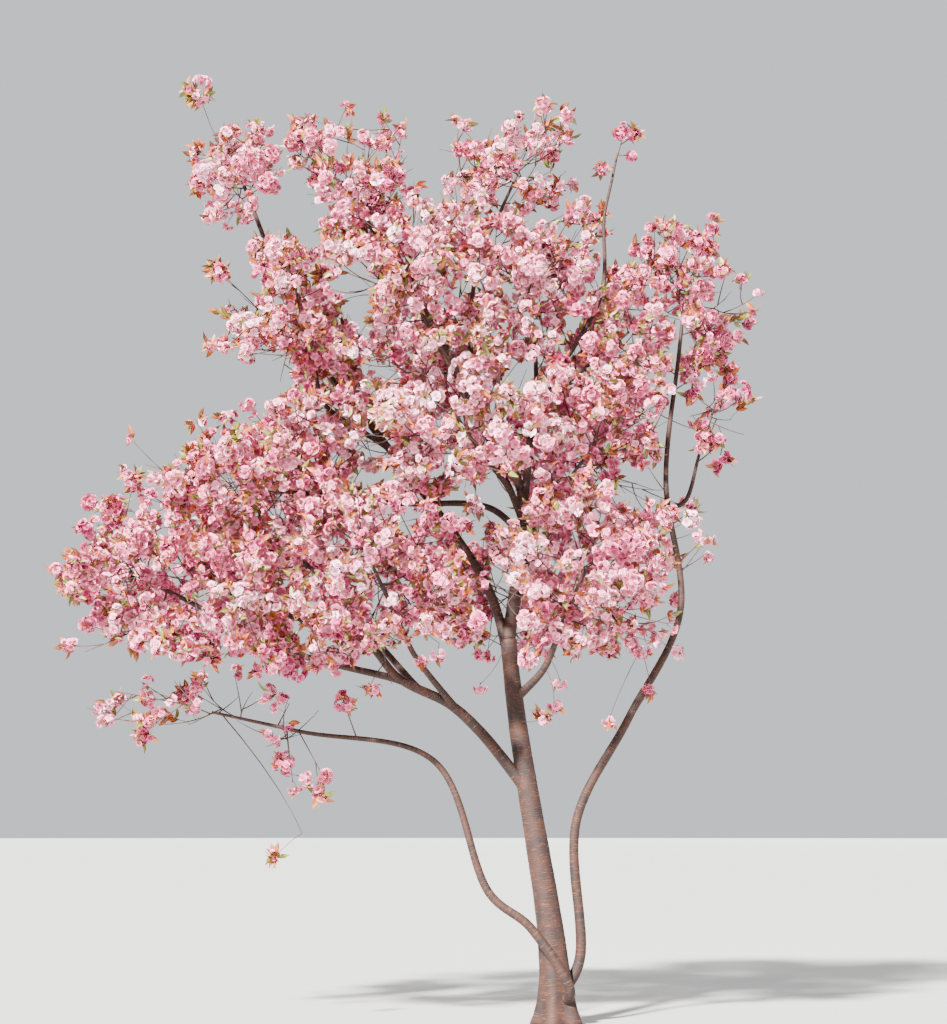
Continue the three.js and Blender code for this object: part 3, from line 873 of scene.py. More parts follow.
def triangles_in(obj):
    obj.data.calc_loop_triangles()
    return len(obj.data.loop_triangles)


# %% [markdown]
# ## Bark
# Cherry bark is smooth and reddish brown with short raised bands that run round the limb. An image would be
# the usual way, but a pattern made of noise has no seams and any size. The noise is read in the limb's own
# straightened space, which each mesh carries as an attribute, so that the bands stay across the limb wherever
# it bends.

# %% Bark finish
def bark_finish(name, dark, warm, band):
    finish = Finish(name)
    place = finish.add("Attribute", attribute_name="unbent").outputs["Vector"]
    wide = finish.add("TexNoise", {"Vector": place, "Scale": 7.0, "Detail": 5.0}).outputs["Fac"]
    squeezed = finish.add("Mapping", {"Vector": place, "Scale": (13.0, 13.0, 120.0)}).outputs["Vector"]
    bands = finish.add("TexNoise", {"Vector": squeezed, "Scale": 1.0, "Detail": 2.0}).outputs["Fac"]
    fine = finish.add("TexNoise", {"Vector": place, "Scale": 90.0, "Detail": 6.0}).outputs["Fac"]
    base = finish.ramp(wide, (0.32, dark), (0.66, warm))
    lines = finish.ramp(bands, (0.56, colour(0, 0, 0)), (0.66, colour(255, 255, 255)))
    grains = finish.ramp(fine, (0.3, colour(150, 150, 150)), (0.7, colour(255, 255, 255)))
    finish.into("Base Color", finish.mix("MULTIPLY", 0.8, finish.mix("MIX", lines, base, band), grains))
    rough = finish.add("MapRange", {"Value": fine, "To Min": 0.55, "To Max": 0.9}).outputs["Result"]
    finish.into("Roughness", rough)
    height = finish.add("Math", {0: lines, 1: fine}, operation="ADD").outputs["Value"]
    finish.bump(height, distance=0.004, strength=0.7)
    return finish.material


BARK = bark_finish("cherry_bark", colour(26, 12, 9), colour(70, 34, 17), colour(102, 58, 31))

# %% [markdown]
# Relief comes from moving every point of a limb in or out: low swellings, the raised bands, and fine
# roughness. A displacement modifier could do it, but the bands have to follow the bent limb, so the distance
# is worked out at each point. The trunk's foot is swollen into root lobes as well.

# %% Bark relief
SWELL = {"scale": 4.0, "share": 0.055}
BAND = {"round": 10, "along": 0.045, "share": 0.016}
ROUGH = {"scale": 38.0, "share": 0.02}
RELIEF_FADE = {"radius": 40, "least": 0.4}


def relief(place, height, radius):
    """How much further out the bark lies than the smooth limb, as a share of its radius."""
    spot = Vector(place * MM)
    swell = noise.noise(spot * SWELL["scale"]) * SWELL["share"]
    ribbon = Vector((spot.x * BAND["round"], spot.y * BAND["round"], height * BAND["along"]))
    band = noise.noise(ribbon) * BAND["share"]
    rough = noise.noise(spot * ROUGH["scale"]) * ROUGH["share"]
    return (swell + band + rough) * min(1.0, RELIEF_FADE["radius"] / radius + RELIEF_FADE["least"])


def root_swell(height, angle):
    lobe = 1 - ROOT_FLARE["share"] * math.cos(ROOT_FLARE["lobes"] * angle)
    return ROOT_FLARE["swell"] * math.exp(-height / ROOT_FLARE["height"]) * lobe


# %% [markdown]
# Each limb starts as an upright round bar with many rings. Its rings are then carried along the limb's line
# without twisting, because a frame that is worked out anew at each ring can spin and wring the mesh. The
# trunk's lowest ring is kept flat, at the height of the solid's flat cut.

# %% Bend a bar into a limb
RING_STEP = 26
LEAST_RINGS = 6


def bark_bar(rings, sides):
    bar = bmesh.new()
    bmesh.ops.create_cone(bar, cap_ends=True, segments=sides, radius1=1, radius2=1, depth=1)
    upright = [edge for edge in bar.edges if edge.verts[0].co.z * edge.verts[1].co.z < 0]
    bmesh.ops.subdivide_edges(bar, edges=upright, cuts=rings - 1, use_grid_fill=True)
    return bar


def carried_frames(headings):
    """A direction across the line at each ring, carried along without twisting."""
    first = np.cross(headings[0], [0, 1.0, 0])
    frames = [unit(first)]
    for heading in headings[1:]:
        frames.append(unit(frames[-1] - heading * np.dot(frames[-1], heading)))
    return frames


def bend_bar(bar, name, limb, rings):
    """Lays the bar along the limb's line and gives it the bark's relief."""
    shares = np.arange(rings + 1) / rings
    places, headings = limb["line"].at(shares), limb["line"].heading(shares)
    across = carried_frames(headings)
    unbent = bar.verts.layers.float_vector.new("unbent")
    for vert in bar.verts:
        ring = round((vert.co.z + 0.5) * rings)
        angle = math.atan2(vert.co.y, vert.co.x)
        out = across[ring] * math.cos(angle) + np.cross(headings[ring], across[ring]) * math.sin(angle)
        radius = limb_radius(limb, shares[ring])
        if name == "trunk":
            radius += root_swell(places[ring][2], math.atan2(out[1], out[0]))
        run = shares[ring] * limb["line"].length
        radius *= 1 + relief(places[ring] + out * radius, run, radius)
        vert[unbent] = Vector((math.cos(angle) * radius, math.sin(angle) * radius, run)) * MM
        vert.co = Vector((places[ring] + out * radius) * MM)
        if name == "trunk" and ring == 0:
            vert.co.z = 0


# %% [markdown]
# One function makes every limb's piece. The trunk gets more sides, because it is thicker and its root lobes
# have to be round. Each piece takes the place of the solid with the same name.

# %% Make the limbs
TRUNK_SIDES = 40
LIMB_SIDES = 16


def limb_object(name, limb):
    rings = max(LEAST_RINGS, round(limb["line"].length / RING_STEP))
    bar = bark_bar(rings, TRUNK_SIDES if name == "trunk" else LIMB_SIDES)
    bend_bar(bar, name, limb, rings)
    bmesh.ops.recalc_face_normals(bar, faces=bar.faces)
    mesh = bpy.data.meshes.new(name + "_bark")
    bar.to_mesh(mesh)
    bar.free()
    mesh.shade_smooth()
    mesh.materials.append(BARK)
    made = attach(add_object(name + "_bark", mesh), "root")
    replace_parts(made, name)
    return made


bark_pieces = [limb_object(name, limb) for name, limb in limbs.items()]
print("bark triangles:", sum(triangles_in(piece) for piece in bark_pieces))

# %% [markdown]
# ## Twigs
# The rule left straight twigs. Real ones arch and hang a little, so each is bent on the way to its spray, and
# each starts at the place on its parent's bent line that its bud had. From here on one seeded generator of
# whole arrays is used, because it is much faster than drawing numbers one by one.

# %% Bend the twigs
TUFT_RADIUS = 62
TWIG_END = 0.45
ARCH = {"height": 0.11, "sideways": 0.6, "down": 0.5}
SHAPING_SEED = 7
shaping = np.random.default_rng(SHAPING_SEED)


def bent_place(line, share):
    a, b, c = line
    return a * (1 - share) ** 2 + 2 * b * share * (1 - share) + c * share**2


def arch(twig, start):
    beyond = (twig["reach"] - TUFT_RADIUS) * TWIG_END
    end = twig["centre"] + twig["heading"] * beyond
    twig["full"] = twig["length"] / (twig["length"] + beyond)
    side = shaping.normal(size=3) * ARCH["sideways"] - np.array([0, 0, ARCH["down"]])
    middle = (start + end) / 2 + side * ARCH["height"] * np.linalg.norm(end - start)
    twig["bent"] = (start, middle, end)


def bend(twig, stem):
    bud = twig["bud"]
    parent = bud["twig"]
    if parent is None:
        start = stem["line"].at(bud["share"])[0]
    else:
        start = bent_place(parent["bent"], bud["share"] * parent["full"])
    arch(twig, start)


for part in crown.values():
    for twig in part["twigs"]:
        bend(twig, part["stem"])

# %% [markdown]
# Boughs on a real cherry aren't bare up to the first mass: short side twigs stand out of them all the way,
# each with a few tufts. They start where the photograph shows the first blossom on each bough, and lean
# forward.

# %% Side twigs on the boughs
SIDE = {"per_metre": 6.0, "length": (150, 360), "reach": (95, 150), "radius": 6.5, "rise": 0.25,
        "forward": (0.1, 0.9), "last": 0.97}
FIRST_SIDE_TWIG = {
    "trunk": 0.97, "leader": 0.75, "left_low_bough": 0.66, "right_stem": 0.6, "low_left_stem": 0.8,
    "lower_centre_bough": 0.55, "lower_right_bough": 0.6, "back_low_bough": 0.6,
}
USUAL_FIRST_SIDE_TWIG = 0.3


def side_twig(limb, share):
    start, ahead = limb["line"].at(share)[0], limb["line"].heading(share)[0]
    out = unit(np.cross(ahead, shaping.normal(size=3)))
    heading = unit(out + ahead * shaping.uniform(*SIDE["forward"]) + [0, 0, SIDE["rise"]])
    length, reach = shaping.uniform(*SIDE["length"]), shaping.uniform(*SIDE["reach"])
    twig = {"centre": start + heading * length, "heading": heading, "length": length, "reach": reach,
            "width": reach * SLIMNESS, "radius": SIDE["radius"]}
    arch(twig, start)
    return twig


side_count = 0
for name, limb in limbs.items():
    first = FIRST_SIDE_TWIG.get(name, USUAL_FIRST_SIDE_TWIG)
    count = round(SIDE["per_metre"] * (1 - first) * limb["line"].length * MM)
    for share in shaping.uniform(first, SIDE["last"], count):
        twig = side_twig(limb, share)
        crown[nearest_mass(twig["centre"])]["twigs"].append(twig)
    side_count += count
print("side twigs on the boughs:", side_count)

# %% [markdown]
# A dozen single clusters hang clear below the crown in the photograph. Their places are given, and each hangs
# on a thin twig from the nearest wood that is higher up: a limb, or the tip of a twig.

# %% Single clusters that hang below the crown
HANGING = (
    (-640, -600, 2750), (-151, -500, 2471), (-36, -500, 2601), (14, -500, 2781), (418, -400, 2468),
    (765, -400, 2738), (983, -300, 3009), (-1121, -800, 2940), (-977, -800, 2970), (-1739, -400, 2591),
    (-2309, -130, 1376), (-1982, -150, 1947),
)
LIMB_PLACES = np.linspace(0.5, 1, 20)
OUT_OF_REACH = 1000


def hanging_twig(place, ends, owners):
    lower = ends[:, 2] < place[2]
    nearest = (np.linalg.norm(ends - place, axis=1) + OUT_OF_REACH * lower).argmin()
    start, parent = ends[nearest], owners[nearest]
    length = np.linalg.norm(place - start)
    twig = {"centre": place, "heading": (place - start) / length, "length": length, "reach": TUFT_RADIUS,
            "width": TUFT_RADIUS, "radius": SIDE["radius"] / 2, "lone": True, "bud": {"twig": parent}}
    arch(twig, start)
    return twig


grown_twigs = [twig for part in crown.values() for twig in part["twigs"]]
limb_places = np.concatenate([limb["line"].at(LIMB_PLACES) for limb in limbs.values()])
twig_ends = np.concatenate([limb_places, [twig["bent"][2] for twig in grown_twigs]])
twig_owners = [None] * len(limb_places) + grown_twigs
for place in np.array(HANGING, float):
    crown[nearest_mass(place)]["twigs"].append(hanging_twig(place, twig_ends, twig_owners))
print("single clusters below the crown:", len(HANGING))

# %% [markdown]
# ## Tufts
# A spray of a cherry is a bunch of short spurs, and each spur carries a round tuft of three or four double
# flowers on stalks. Their places are spread evenly over the spray, as the sprays were over the lobe. More of
# them sit on the side that faces out of the crown, where the light is, and low noise leaves ragged gaps.

# %% Places for tufts
ANY_TURN = 6
TUFTS = {"per_square_metre": 104, "spare": 1.5, "least": 4, "inset": 0.8, "depth": 0.3, "stray": 25,
         "inward": 0.25}
OPEN = {"across": 1.5, "upward": 3.2, "base": 0.72, "depth": 1.5, "least": 0.12}
LONE_TUFTS = 2


def openness(places):
    """How much of the blossom is there: low noise in flat bands leaves ragged gaps, as in the real crown."""
    scale = np.array([OPEN["across"], OPEN["across"], OPEN["upward"]]) * MM
    values = np.array([noise.noise(Vector(place)) for place in places * scale])
    return np.clip(OPEN["base"] + OPEN["depth"] * values, OPEN["least"], 1)


def tuft_count_on(long, wide, fullness):
    """How many places a spray of these half sizes gets."""
    area = 4 * math.pi * (2 * long * wide + wide * wide) / 3 * MM * MM
    area = max(area, 4 * math.pi * (TUFT_RADIUS * MM) ** 2)
    return max(TUFTS["least"], round(TUFTS["per_square_metre"] * area * TUFTS["spare"] * fullness))


def tuft_places(twig, outward, fullness):
    """Places over a spray, and which way each one faces."""
    long, wide = twig["reach"] - TUFT_RADIUS, twig["width"] - TUFT_RADIUS * TUFTS["inset"]
    count = tuft_count_on(long, wide, fullness)
    index = np.arange(count)
    rise = 1 - 2 * (index + 0.5) / count
    ring = np.sqrt(1 - rise**2)
    angle = index * GOLDEN_ANGLE + shaping.random() * ANY_TURN
    axes = turned(twig["heading"][None], np.zeros(1))[0]
    local = np.stack([ring * np.cos(angle) * wide, ring * np.sin(angle) * wide, rise * long], axis=1)
    depth = 1 - TUFTS["depth"] * shaping.random((count, 1)) ** 2
    places = twig["centre"] + (local * depth) @ axes.T
    facing = normalized(local @ axes.T + shaping.normal(size=(count, 3)) * TUFTS["stray"])
    lit = TUFTS["inward"] + (1 - TUFTS["inward"]) * (0.5 + 0.5 * facing @ outward)
    kept = shaping.random(count) < lit * openness(places)
    return places[kept], facing[kept]


def lone_places(twig):
    facing = normalized(shaping.normal(size=(LONE_TUFTS, 3)) + twig["heading"])
    return twig["centre"] + facing * TUFT_RADIUS / 3, facing


# %% [markdown]
# Each tuft sits on a fine twig of its own, and the same branching rule finds where that starts: at the bud
# with the shortest way back, on the spray's twig or on a fine twig that is already there.

# %% Fine twigs
FINE = {"spacing": 26, "path": 0.4, "turn": 0.1, "buds": 30, "span": 2.6, "first": 0.05, "last": 0.98}


def fine_twigs(twig, places):
    """For each place, the start of its fine twig, by the branching rule."""
    first = max(FINE["first"], 1 - FINE["span"] * twig["reach"] * twig["full"] / twig["length"])
    shares = np.linspace(first, FINE["last"], FINE["buds"])
    line = np.array([bent_place(twig["bent"], s) for s in shares])
    starts, paths = line, shares * twig["length"]
    headings = np.repeat(twig["heading"][None], len(line), axis=0)
    order = np.argsort(np.linalg.norm(places - line[0], axis=1))
    found = np.zeros((len(places), 3))
    for number in order:
        away = places[number] - starts
        length = np.linalg.norm(away, axis=1)
        turn = (away * headings).sum(1) / np.maximum(length, TINY)
        cost = length + FINE["path"] * paths + OUT_OF_REACH * (turn < FINE["turn"])
        best = cost.argmin()
        found[number] = starts[best]
        new = np.arange(FINE["spacing"], length[best] - TUFT_RADIUS, FINE["spacing"])
        step = away[best] / length[best]
        starts = np.concatenate([np.delete(starts, best, 0), starts[best] + step * new[:, None]])
        headings = np.concatenate([np.delete(headings, best, 0), np.repeat(step[None], len(new), 0)])
        paths = np.concatenate([np.delete(paths, best), paths[best] + new])
    return found


# %% [markdown]
# The photograph shows open places in the crown, and at two ends of the tree only single clusters. Both are
# given as places on the upright plane through the trunk's foot, across and up, as the photograph's eye sees
# them. Where a point of the crown is seen on that plane follows from similar triangles. An open place could
# also be cut out with a shape, but leaving out the tufts in it keeps every flower whole.

# %% Open places and single clusters
OPEN_PLACES = (
    ((-2186, 6878), (215, 300)), ((-1681, 6131), (150, 430)), ((-1556, 4841), (160, 170)),
    ((-467, 4383), (215, 255)), ((-757, 4448), (150, 110)), ((-452, 3372), (165, 430)),
    ((1016, 4830), (175, 530)), ((708, 4457), (235, 235)), ((-272, 5486), (200, 155)),
    ((609, 6856), (155, 320)), ((-1046, 7496), (240, 400)), ((-3199, 5287), (430, 415)),
    ((-2441, 5526), (220, 185)), ((191, 7337), (225, 245)), ((-376, 7053), (160, 110)),
    ((1554, 4376), (330, 370)), ((-2103, 7976), (290, 200)), ((-3412, 4768), (290, 225)),
    ((1537, 6081), (225, 165)), ((1248, 6918), (165, 120)), ((-3922, 3010), (320, 120)),
    ((-3330, 2923), (420, 130)), ((-2667, 6245), (150, 190)), ((1606, 4902), (220, 150)),
)
OPEN_EDGE = {"depth": 0.5, "scale": 6.0}
CLUSTER_RADIUS = 105
CLUSTERS = {
    "leader_tip": ((495, 7242), (530, 7290), (647, 7549), (620, 7440)),
    "low_skirt": (
        (-3855, 2722), (-3759, 2571), (-3679, 2739), (-3492, 2630), (-3422, 2513), (-3418, 2338),
        (-3273, 2613), (-3072, 2638), (-2384, 2638), (-1771, 2638), (-2305, 2371), (-2319, 2138),
        (-2116, 1947), (-1982, 1947), (-2309, 1379), (-3496, 2806), (-2661, 2960), (-3076, 2823),
    ),
}


def seen_places(places):
    eye = np.array(EYE) / MM
    share = -eye[1] / (places[:, 1] - eye[1])
    return (eye + (places - eye) * share[:, None])[:, [0, 2]]


def shown(name, places):
    """Which places of a mass carry blossom in the photograph."""
    seen = seen_places(places)
    edge = np.array([noise.noise(Vector(place)) for place in places * MM * OPEN_EDGE["scale"]])
    ragged = 1 + OPEN_EDGE["depth"] * edge
    kept = np.full(len(places), True)
    for centre, half in OPEN_PLACES:
        kept &= np.linalg.norm((seen - centre) / half, axis=1) > ragged
    if name in CLUSTERS:
        kept &= (np.linalg.norm(seen[:, None] - CLUSTERS[name], axis=2) < CLUSTER_RADIUS).any(1)
    return kept


# %% [markdown]
# Fullness says how much of a mass's sprays is covered by flowers, because the crown is thinner at the top and
# on the far right. Tint says how deep the pink is, from 0 for nearly white to 4 for deep rose, and holds
# painted light: the sunlit middle of the crown is painted pale, and the shaded right side and low edges are
# painted deeper pink.

# %% Fullness and tint
FULLNESS = {"top_inner_left": 0.7, "top_centre": 0.85, "far_right": 0.42, "upper_right": 0.85}
SUN_AND_SHADE_TINT = {
    "top_left": 1.4, "top_inner_left": 1.7, "top_centre": 1.6, "leader_tip": 3.2, "upper_centre": 1.2,
    "upper_mid": 1.3, "upper_right": 2.4, "centre_front": 1.1, "left_upper": 1.6, "left_shoulder": 1.7,
    "far_left": 2.2, "lower_left": 2.1, "lower_centre": 1.7, "lower_right": 1.5, "right_middle": 1.7,
    "right_inner": 2.0, "far_right": 2.9, "low_skirt": 2.2, "back_low": 2.0, "back_left": 1.9,
    "back_up": 1.7, "back_right": 2.0,
}
TINT_SPREAD = {"spray": 0.55, "tuft": 0.35}

# %% [markdown]
# Now every spray gets its tufts. A tuft is left out where it would pass the solids' box, press into a limb or
# fill an open place. A twig that carries blossom is kept, and so is every twig on the way back to the bough:
# the rest would only be bare sticks.

# %% Grow the tufts
BOX_INSET = 40
BOX_LOW, BOX_HIGH = np.array(CAD_BOX[0]) / MM + BOX_INSET, np.array(CAD_BOX[1]) / MM - BOX_INSET
WOOD_CLEARANCE = TUFT_RADIUS * 0.5


def spray_tufts(name, twig):
    """The places of a spray's tufts, and which way each one faces."""
    if "lone" in twig:
        places, facing = lone_places(twig)
    else:
        centres = [np.array(centre) for centre, _ in MASSES[name]["lobes"]]
        middle = min(centres, key=lambda centre: np.linalg.norm(centre - twig["centre"]))
        places, facing = tuft_places(twig, unit(twig["centre"] - middle), FULLNESS.get(name, 1.0))
    if not len(places):
        return places, facing
    inside = ((places > BOX_LOW) & (places < BOX_HIGH)).all(1)
    kept = inside & (clearance(places, WOOD) > WOOD_CLEARANCE) & shown(name, places)
    return places[kept], facing[kept]


def mark_carrying(twig):
    while twig is not None and not twig.get("carrying"):
        twig["carrying"] = True
        twig = twig["bud"]["twig"] if "bud" in twig else None


tufts = {"place": [], "facing": [], "start": [], "tint": []}
for name, part in crown.items():
    for twig in part["twigs"]:
        places, facing = spray_tufts(name, twig)
        if not len(places):
            continue
        mark_carrying(twig)
        # The mass's tint is painted light: paler where the crown is sunlit, deeper pink where it is shaded;
        # the spray and tuft spreads are random.
        spray_tint = SUN_AND_SHADE_TINT[name] + shaping.normal() * TINT_SPREAD["spray"]
        tufts["place"].append(places)
        tufts["facing"].append(facing)
        tufts["start"].append(fine_twigs(twig, places))
        tufts["tint"].append(spray_tint + shaping.normal(size=len(places)) * TINT_SPREAD["tuft"])
tufts = {key: np.concatenate(values) for key, values in tufts.items()}
print("tufts:", len(tufts["place"]))

# %% [markdown]
# ## Wood of the twigs
# Twigs become tubes. Blender could skin a line, but not many thousands of lines, so the rings of all the
# tubes are worked out together as one array and closed with a cap at each end.

# %% Tubes along many lines
def tubes(lines, radii, sides):
    """Closed tubes along many lines with the same number of points each."""
    count, rings = lines.shape[:2]
    along = normalized(np.gradient(lines, axis=1))
    side = turned(lines[:, -1] - lines[:, 0], np.zeros(count))[:, None, :, 0]
    across = normalized(side - along * (side * along).sum(2, keepdims=True))
    over = np.cross(along, across)
    angles = np.arange(sides) * 2 * math.pi / sides
    out = across[:, :, None] * np.cos(angles)[:, None] + over[:, :, None] * np.sin(angles)[:, None]
    points = lines[:, :, None] + out * radii[:, :, None, None]
    index = np.arange(points.size // 3).reshape(count, rings, sides)
    lower, upper = index[:, :-1], index[:, 1:]
    walls = np.stack([lower, np.roll(lower, -1, 2), np.roll(upper, -1, 2), upper], axis=3).reshape(-1, 4)
    caps = np.concatenate([index[:, 0, ::-1], index[:, -1]])
    return points.reshape(-1, 3) * MM, walls, caps


def tube_object(name, parts, material):
    points, walls, caps, offset = [], [], [], 0
    for lines, radii, sides in parts:
        made, wall, cap = tubes(lines, radii, sides)
        points.append(made)
        walls.append(wall + offset)
        caps.append(cap + offset)
        offset += len(made)
    mesh = mesh_of(name, np.concatenate(points), [np.concatenate(walls), *caps])
    mesh.shade_smooth()
    mesh.materials.append(material)
    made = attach(add_object(name, mesh), "root")
    print(name, triangles_in(made))
    return made


# %% [markdown]
# Older twigs are dark brown, and this year's spurs are greener and paler. Both have a slow change of tone and
# a fine grain, and no bands, which would be too small to see.

# %% Twig finish
def twig_finish(name, dark, light):
    finish = Finish(name, Roughness=0.7)
    place = finish.add("TexCoord").outputs["Object"]
    tone = finish.add("TexNoise", {"Vector": place, "Scale": 11.0, "Detail": 3.0}).outputs["Fac"]
    fine = finish.add("TexNoise", {"Vector": place, "Scale": 210.0, "Detail": 3.0}).outputs["Fac"]
    finish.into("Base Color", finish.ramp(tone, (0.35, dark), (0.65, light)))
    finish.bump(fine, distance=0.002, strength=0.6)
    return finish.material


TWIG_BARK = twig_finish("twig_bark", colour(34, 18, 16), colour(74, 42, 28))
GREEN_WOOD = twig_finish("spur_bark", colour(70, 42, 28), colour(104, 78, 42))

# %% [markdown]
# The masses' stems and the twigs that carry sprays go into one piece, five-sided where they are thin. The
# fine ones, only a few millimetres thick, are three-sided and go into another.

# %% Make the twigs
STEM_TUBE = {"points": 8, "sides": 8}
TWIG_TUBE = {"points": 6, "sides": 5, "tip": 2.4}
FINE_TUBE = {"radii": (3.0, 2.2, 1.6), "sides": 3, "root": 12, "stray": 5, "sag": 8}
MASS_NODES = [f"blossom_{name}" for name in MASSES]

stems = [part["stem"] for part in crown.values()]
stem_shares = np.linspace(0, 1, STEM_TUBE["points"])
stem_lines = np.array([stem["line"].at(stem_shares) for stem in stems])
stem_radii = np.array([np.interp(stem_shares, [0, 1], stem["radii"]) for stem in stems])
carrying = [twig for part in crown.values() for twig in part["twigs"] if twig.get("carrying")]
twig_shares = np.linspace(0, 1, TWIG_TUBE["points"])
twig_lines = np.array([[bent_place(twig["bent"], s) for s in twig_shares] for twig in carrying])
twig_feet = np.array([twig["radius"] for twig in carrying])[:, None]
twig_radii = twig_feet + (TWIG_TUBE["tip"] - twig_feet) * twig_shares
twig_parts = [(stem_lines, stem_radii, STEM_TUBE["sides"]), (twig_lines, twig_radii, TWIG_TUBE["sides"])]
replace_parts(tube_object("twigs", twig_parts, TWIG_BARK), *MASS_NODES)

fine_ends = tufts["place"] - tufts["facing"] * FINE_TUBE["root"]
stray = shaping.normal(size=fine_ends.shape) * FINE_TUBE["stray"]
fine_middles = (tufts["start"] + fine_ends) / 2 + stray - tufts["facing"] * FINE_TUBE["sag"]
fine_lines = np.stack([tufts["start"], fine_middles, fine_ends], axis=1)
fine_radii = np.repeat([FINE_TUBE["radii"]], len(fine_ends), axis=0)
fine_piece = tube_object("fine_twigs", [(fine_lines, fine_radii, FINE_TUBE["sides"])], GREEN_WOOD)
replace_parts(fine_piece, *MASS_NODES)

# %% [markdown]
# ## A double flower
# The flowers have many petals in rings, like small ruffled rosettes. Modelling thirty petals would cost far
# too much for tens of thousands of flowers. Three ruffled cups inside one another give the same scalloped
# edge and the same light and dark rings with two dozen faces. Each cup starts as a flat fan of triangles, and
# its rim is then pulled in, out, up and down.

# %% Model the flowers
CUPS = (
    {"points": 10, "radius": 1.0, "notch": 0.2, "rim": 0.16, "ruffle": 0.16, "dip": -0.16},
    {"points": 8, "radius": 0.72, "notch": 0.16, "rim": 0.42, "ruffle": 0.12, "dip": -0.02},
    {"points": 5, "radius": 0.4, "notch": 0.08, "rim": 0.56, "ruffle": 0.08, "dip": 0.1},
)
RIM_STRAY = {"angle": 0.06, "reach": 0.05}
FLOWER_MODELS = 5


def angle_of(vert):
    return math.atan2(vert.co.y, vert.co.x)


def add_cup(shape, cup):
    fan = bmesh.ops.create_circle(shape, cap_ends=True, cap_tris=True, segments=cup["points"], radius=1)
    turn = shaping.random() * ANY_TURN
    for number, vert in enumerate(sorted(fan["verts"], key=angle_of)):
        if vert.co.length < TINY:
            vert.co.z = cup["dip"]
            continue
        angle = angle_of(vert) + turn + shaping.normal() * RIM_STRAY["angle"]
        reach = cup["radius"] * (1 - cup["notch"] * (number % 2) + shaping.normal() * RIM_STRAY["reach"])
        height = cup["rim"] + cup["ruffle"] * shaping.uniform(-1, 1)
        vert.co = Vector((math.cos(angle) * reach, math.sin(angle) * reach, height))


def flower_model():
    shape = bmesh.new()
    for cup in CUPS:
        add_cup(shape, cup)
    bmesh.ops.recalc_face_normals(shape, faces=shape.faces)
    for face in shape.faces:
        if face.normal.z < 0:
            face.normal_flip()
    points = np.array([vert.co[:] for vert in shape.verts])
    triangles = np.array([[vert.index for vert in face.verts] for face in shape.faces])
    shape.free()
    return {"points": points, "triangles": triangles, "rim": np.linalg.norm(points[:, :2], axis=1)}


flowers = [flower_model() for _ in range(FLOWER_MODELS)]
print("faces of a flower:", len(flowers[0]["triangles"]))

# %% [markdown]
# Petals are deeper pink towards the throat, partly their own colour and partly painted shade in the
# throat. The depth of pink that a flower has by its place on the tree is painted light, pale where the crown
# is
# sunlit and deeper where it is shaded: the flowers are dealt out by spray to pieces with a plain base colour
# each, from nearly white to deep rose. Within a piece, fine noise keeps any two flowers from matching.

# %% Petal finish
def petal_finish(name, edge, throat):
    finish = Finish(name, Roughness=0.55)
    place = finish.add("TexCoord").outputs["Object"]
    rim = finish.add("Attribute", attribute_name="rim").outputs["Fac"]
    tone = finish.add("TexNoise", {"Vector": place, "Scale": 16.0, "Detail": 2.0}).outputs["Fac"]
    vein = finish.add("TexNoise", {"Vector": place, "Scale": 260.0, "Detail": 3.0}).outputs["Fac"]
    # Deeper pink at the throat: partly the petals' own colour, partly painted shade in the flower's hollow
    # middle.
    base = finish.ramp(rim, (0.0, throat), (0.75, edge))
    shade = finish.ramp(tone, (0.3, colour(240, 218, 224)), (0.7, colour(255, 255, 255)))
    finish.into("Base Color", finish.mix("MULTIPLY", 1.0, base, shade))
    finish.bump(vein, distance=0.0015, strength=0.5)
    return finish.material


PETALS = [
    petal_finish("petals_blush", colour(250, 222, 228), colour(236, 146, 172)),
    petal_finish("petals_pale_pink", colour(248, 190, 206), colour(226, 110, 146)),
    petal_finish("petals_pink", colour(240, 152, 178), colour(204, 76, 118)),
    petal_finish("petals_rose", colour(220, 110, 150), colour(174, 48, 94)),
    petal_finish("petals_deep_rose", colour(190, 74, 120), colour(136, 28, 70)),
]

# %% [markdown]
# A tuft has one flower in its middle and three round it, or three side by side. They face outwards and a
# little down, as flowers on soft stalks do.

# %% Deal out the flowers
FLOWER_RADIUS = 39
TUFT_SPREAD = 36
TUFT_SIZES = (0.86, 1.12)
FLOWER_SIZES = (0.92, 1.08)
HANG = (0, 0, -0.2)
SHARE_OF_FOURS = 0.5
TILTS = {"middle": 0.1, "round_it": 1.15, "side_by_side": 0.8}
FLOWER_STRAY = {"tilt": 0.12, "angle": 0.2, "facing": 0.16}

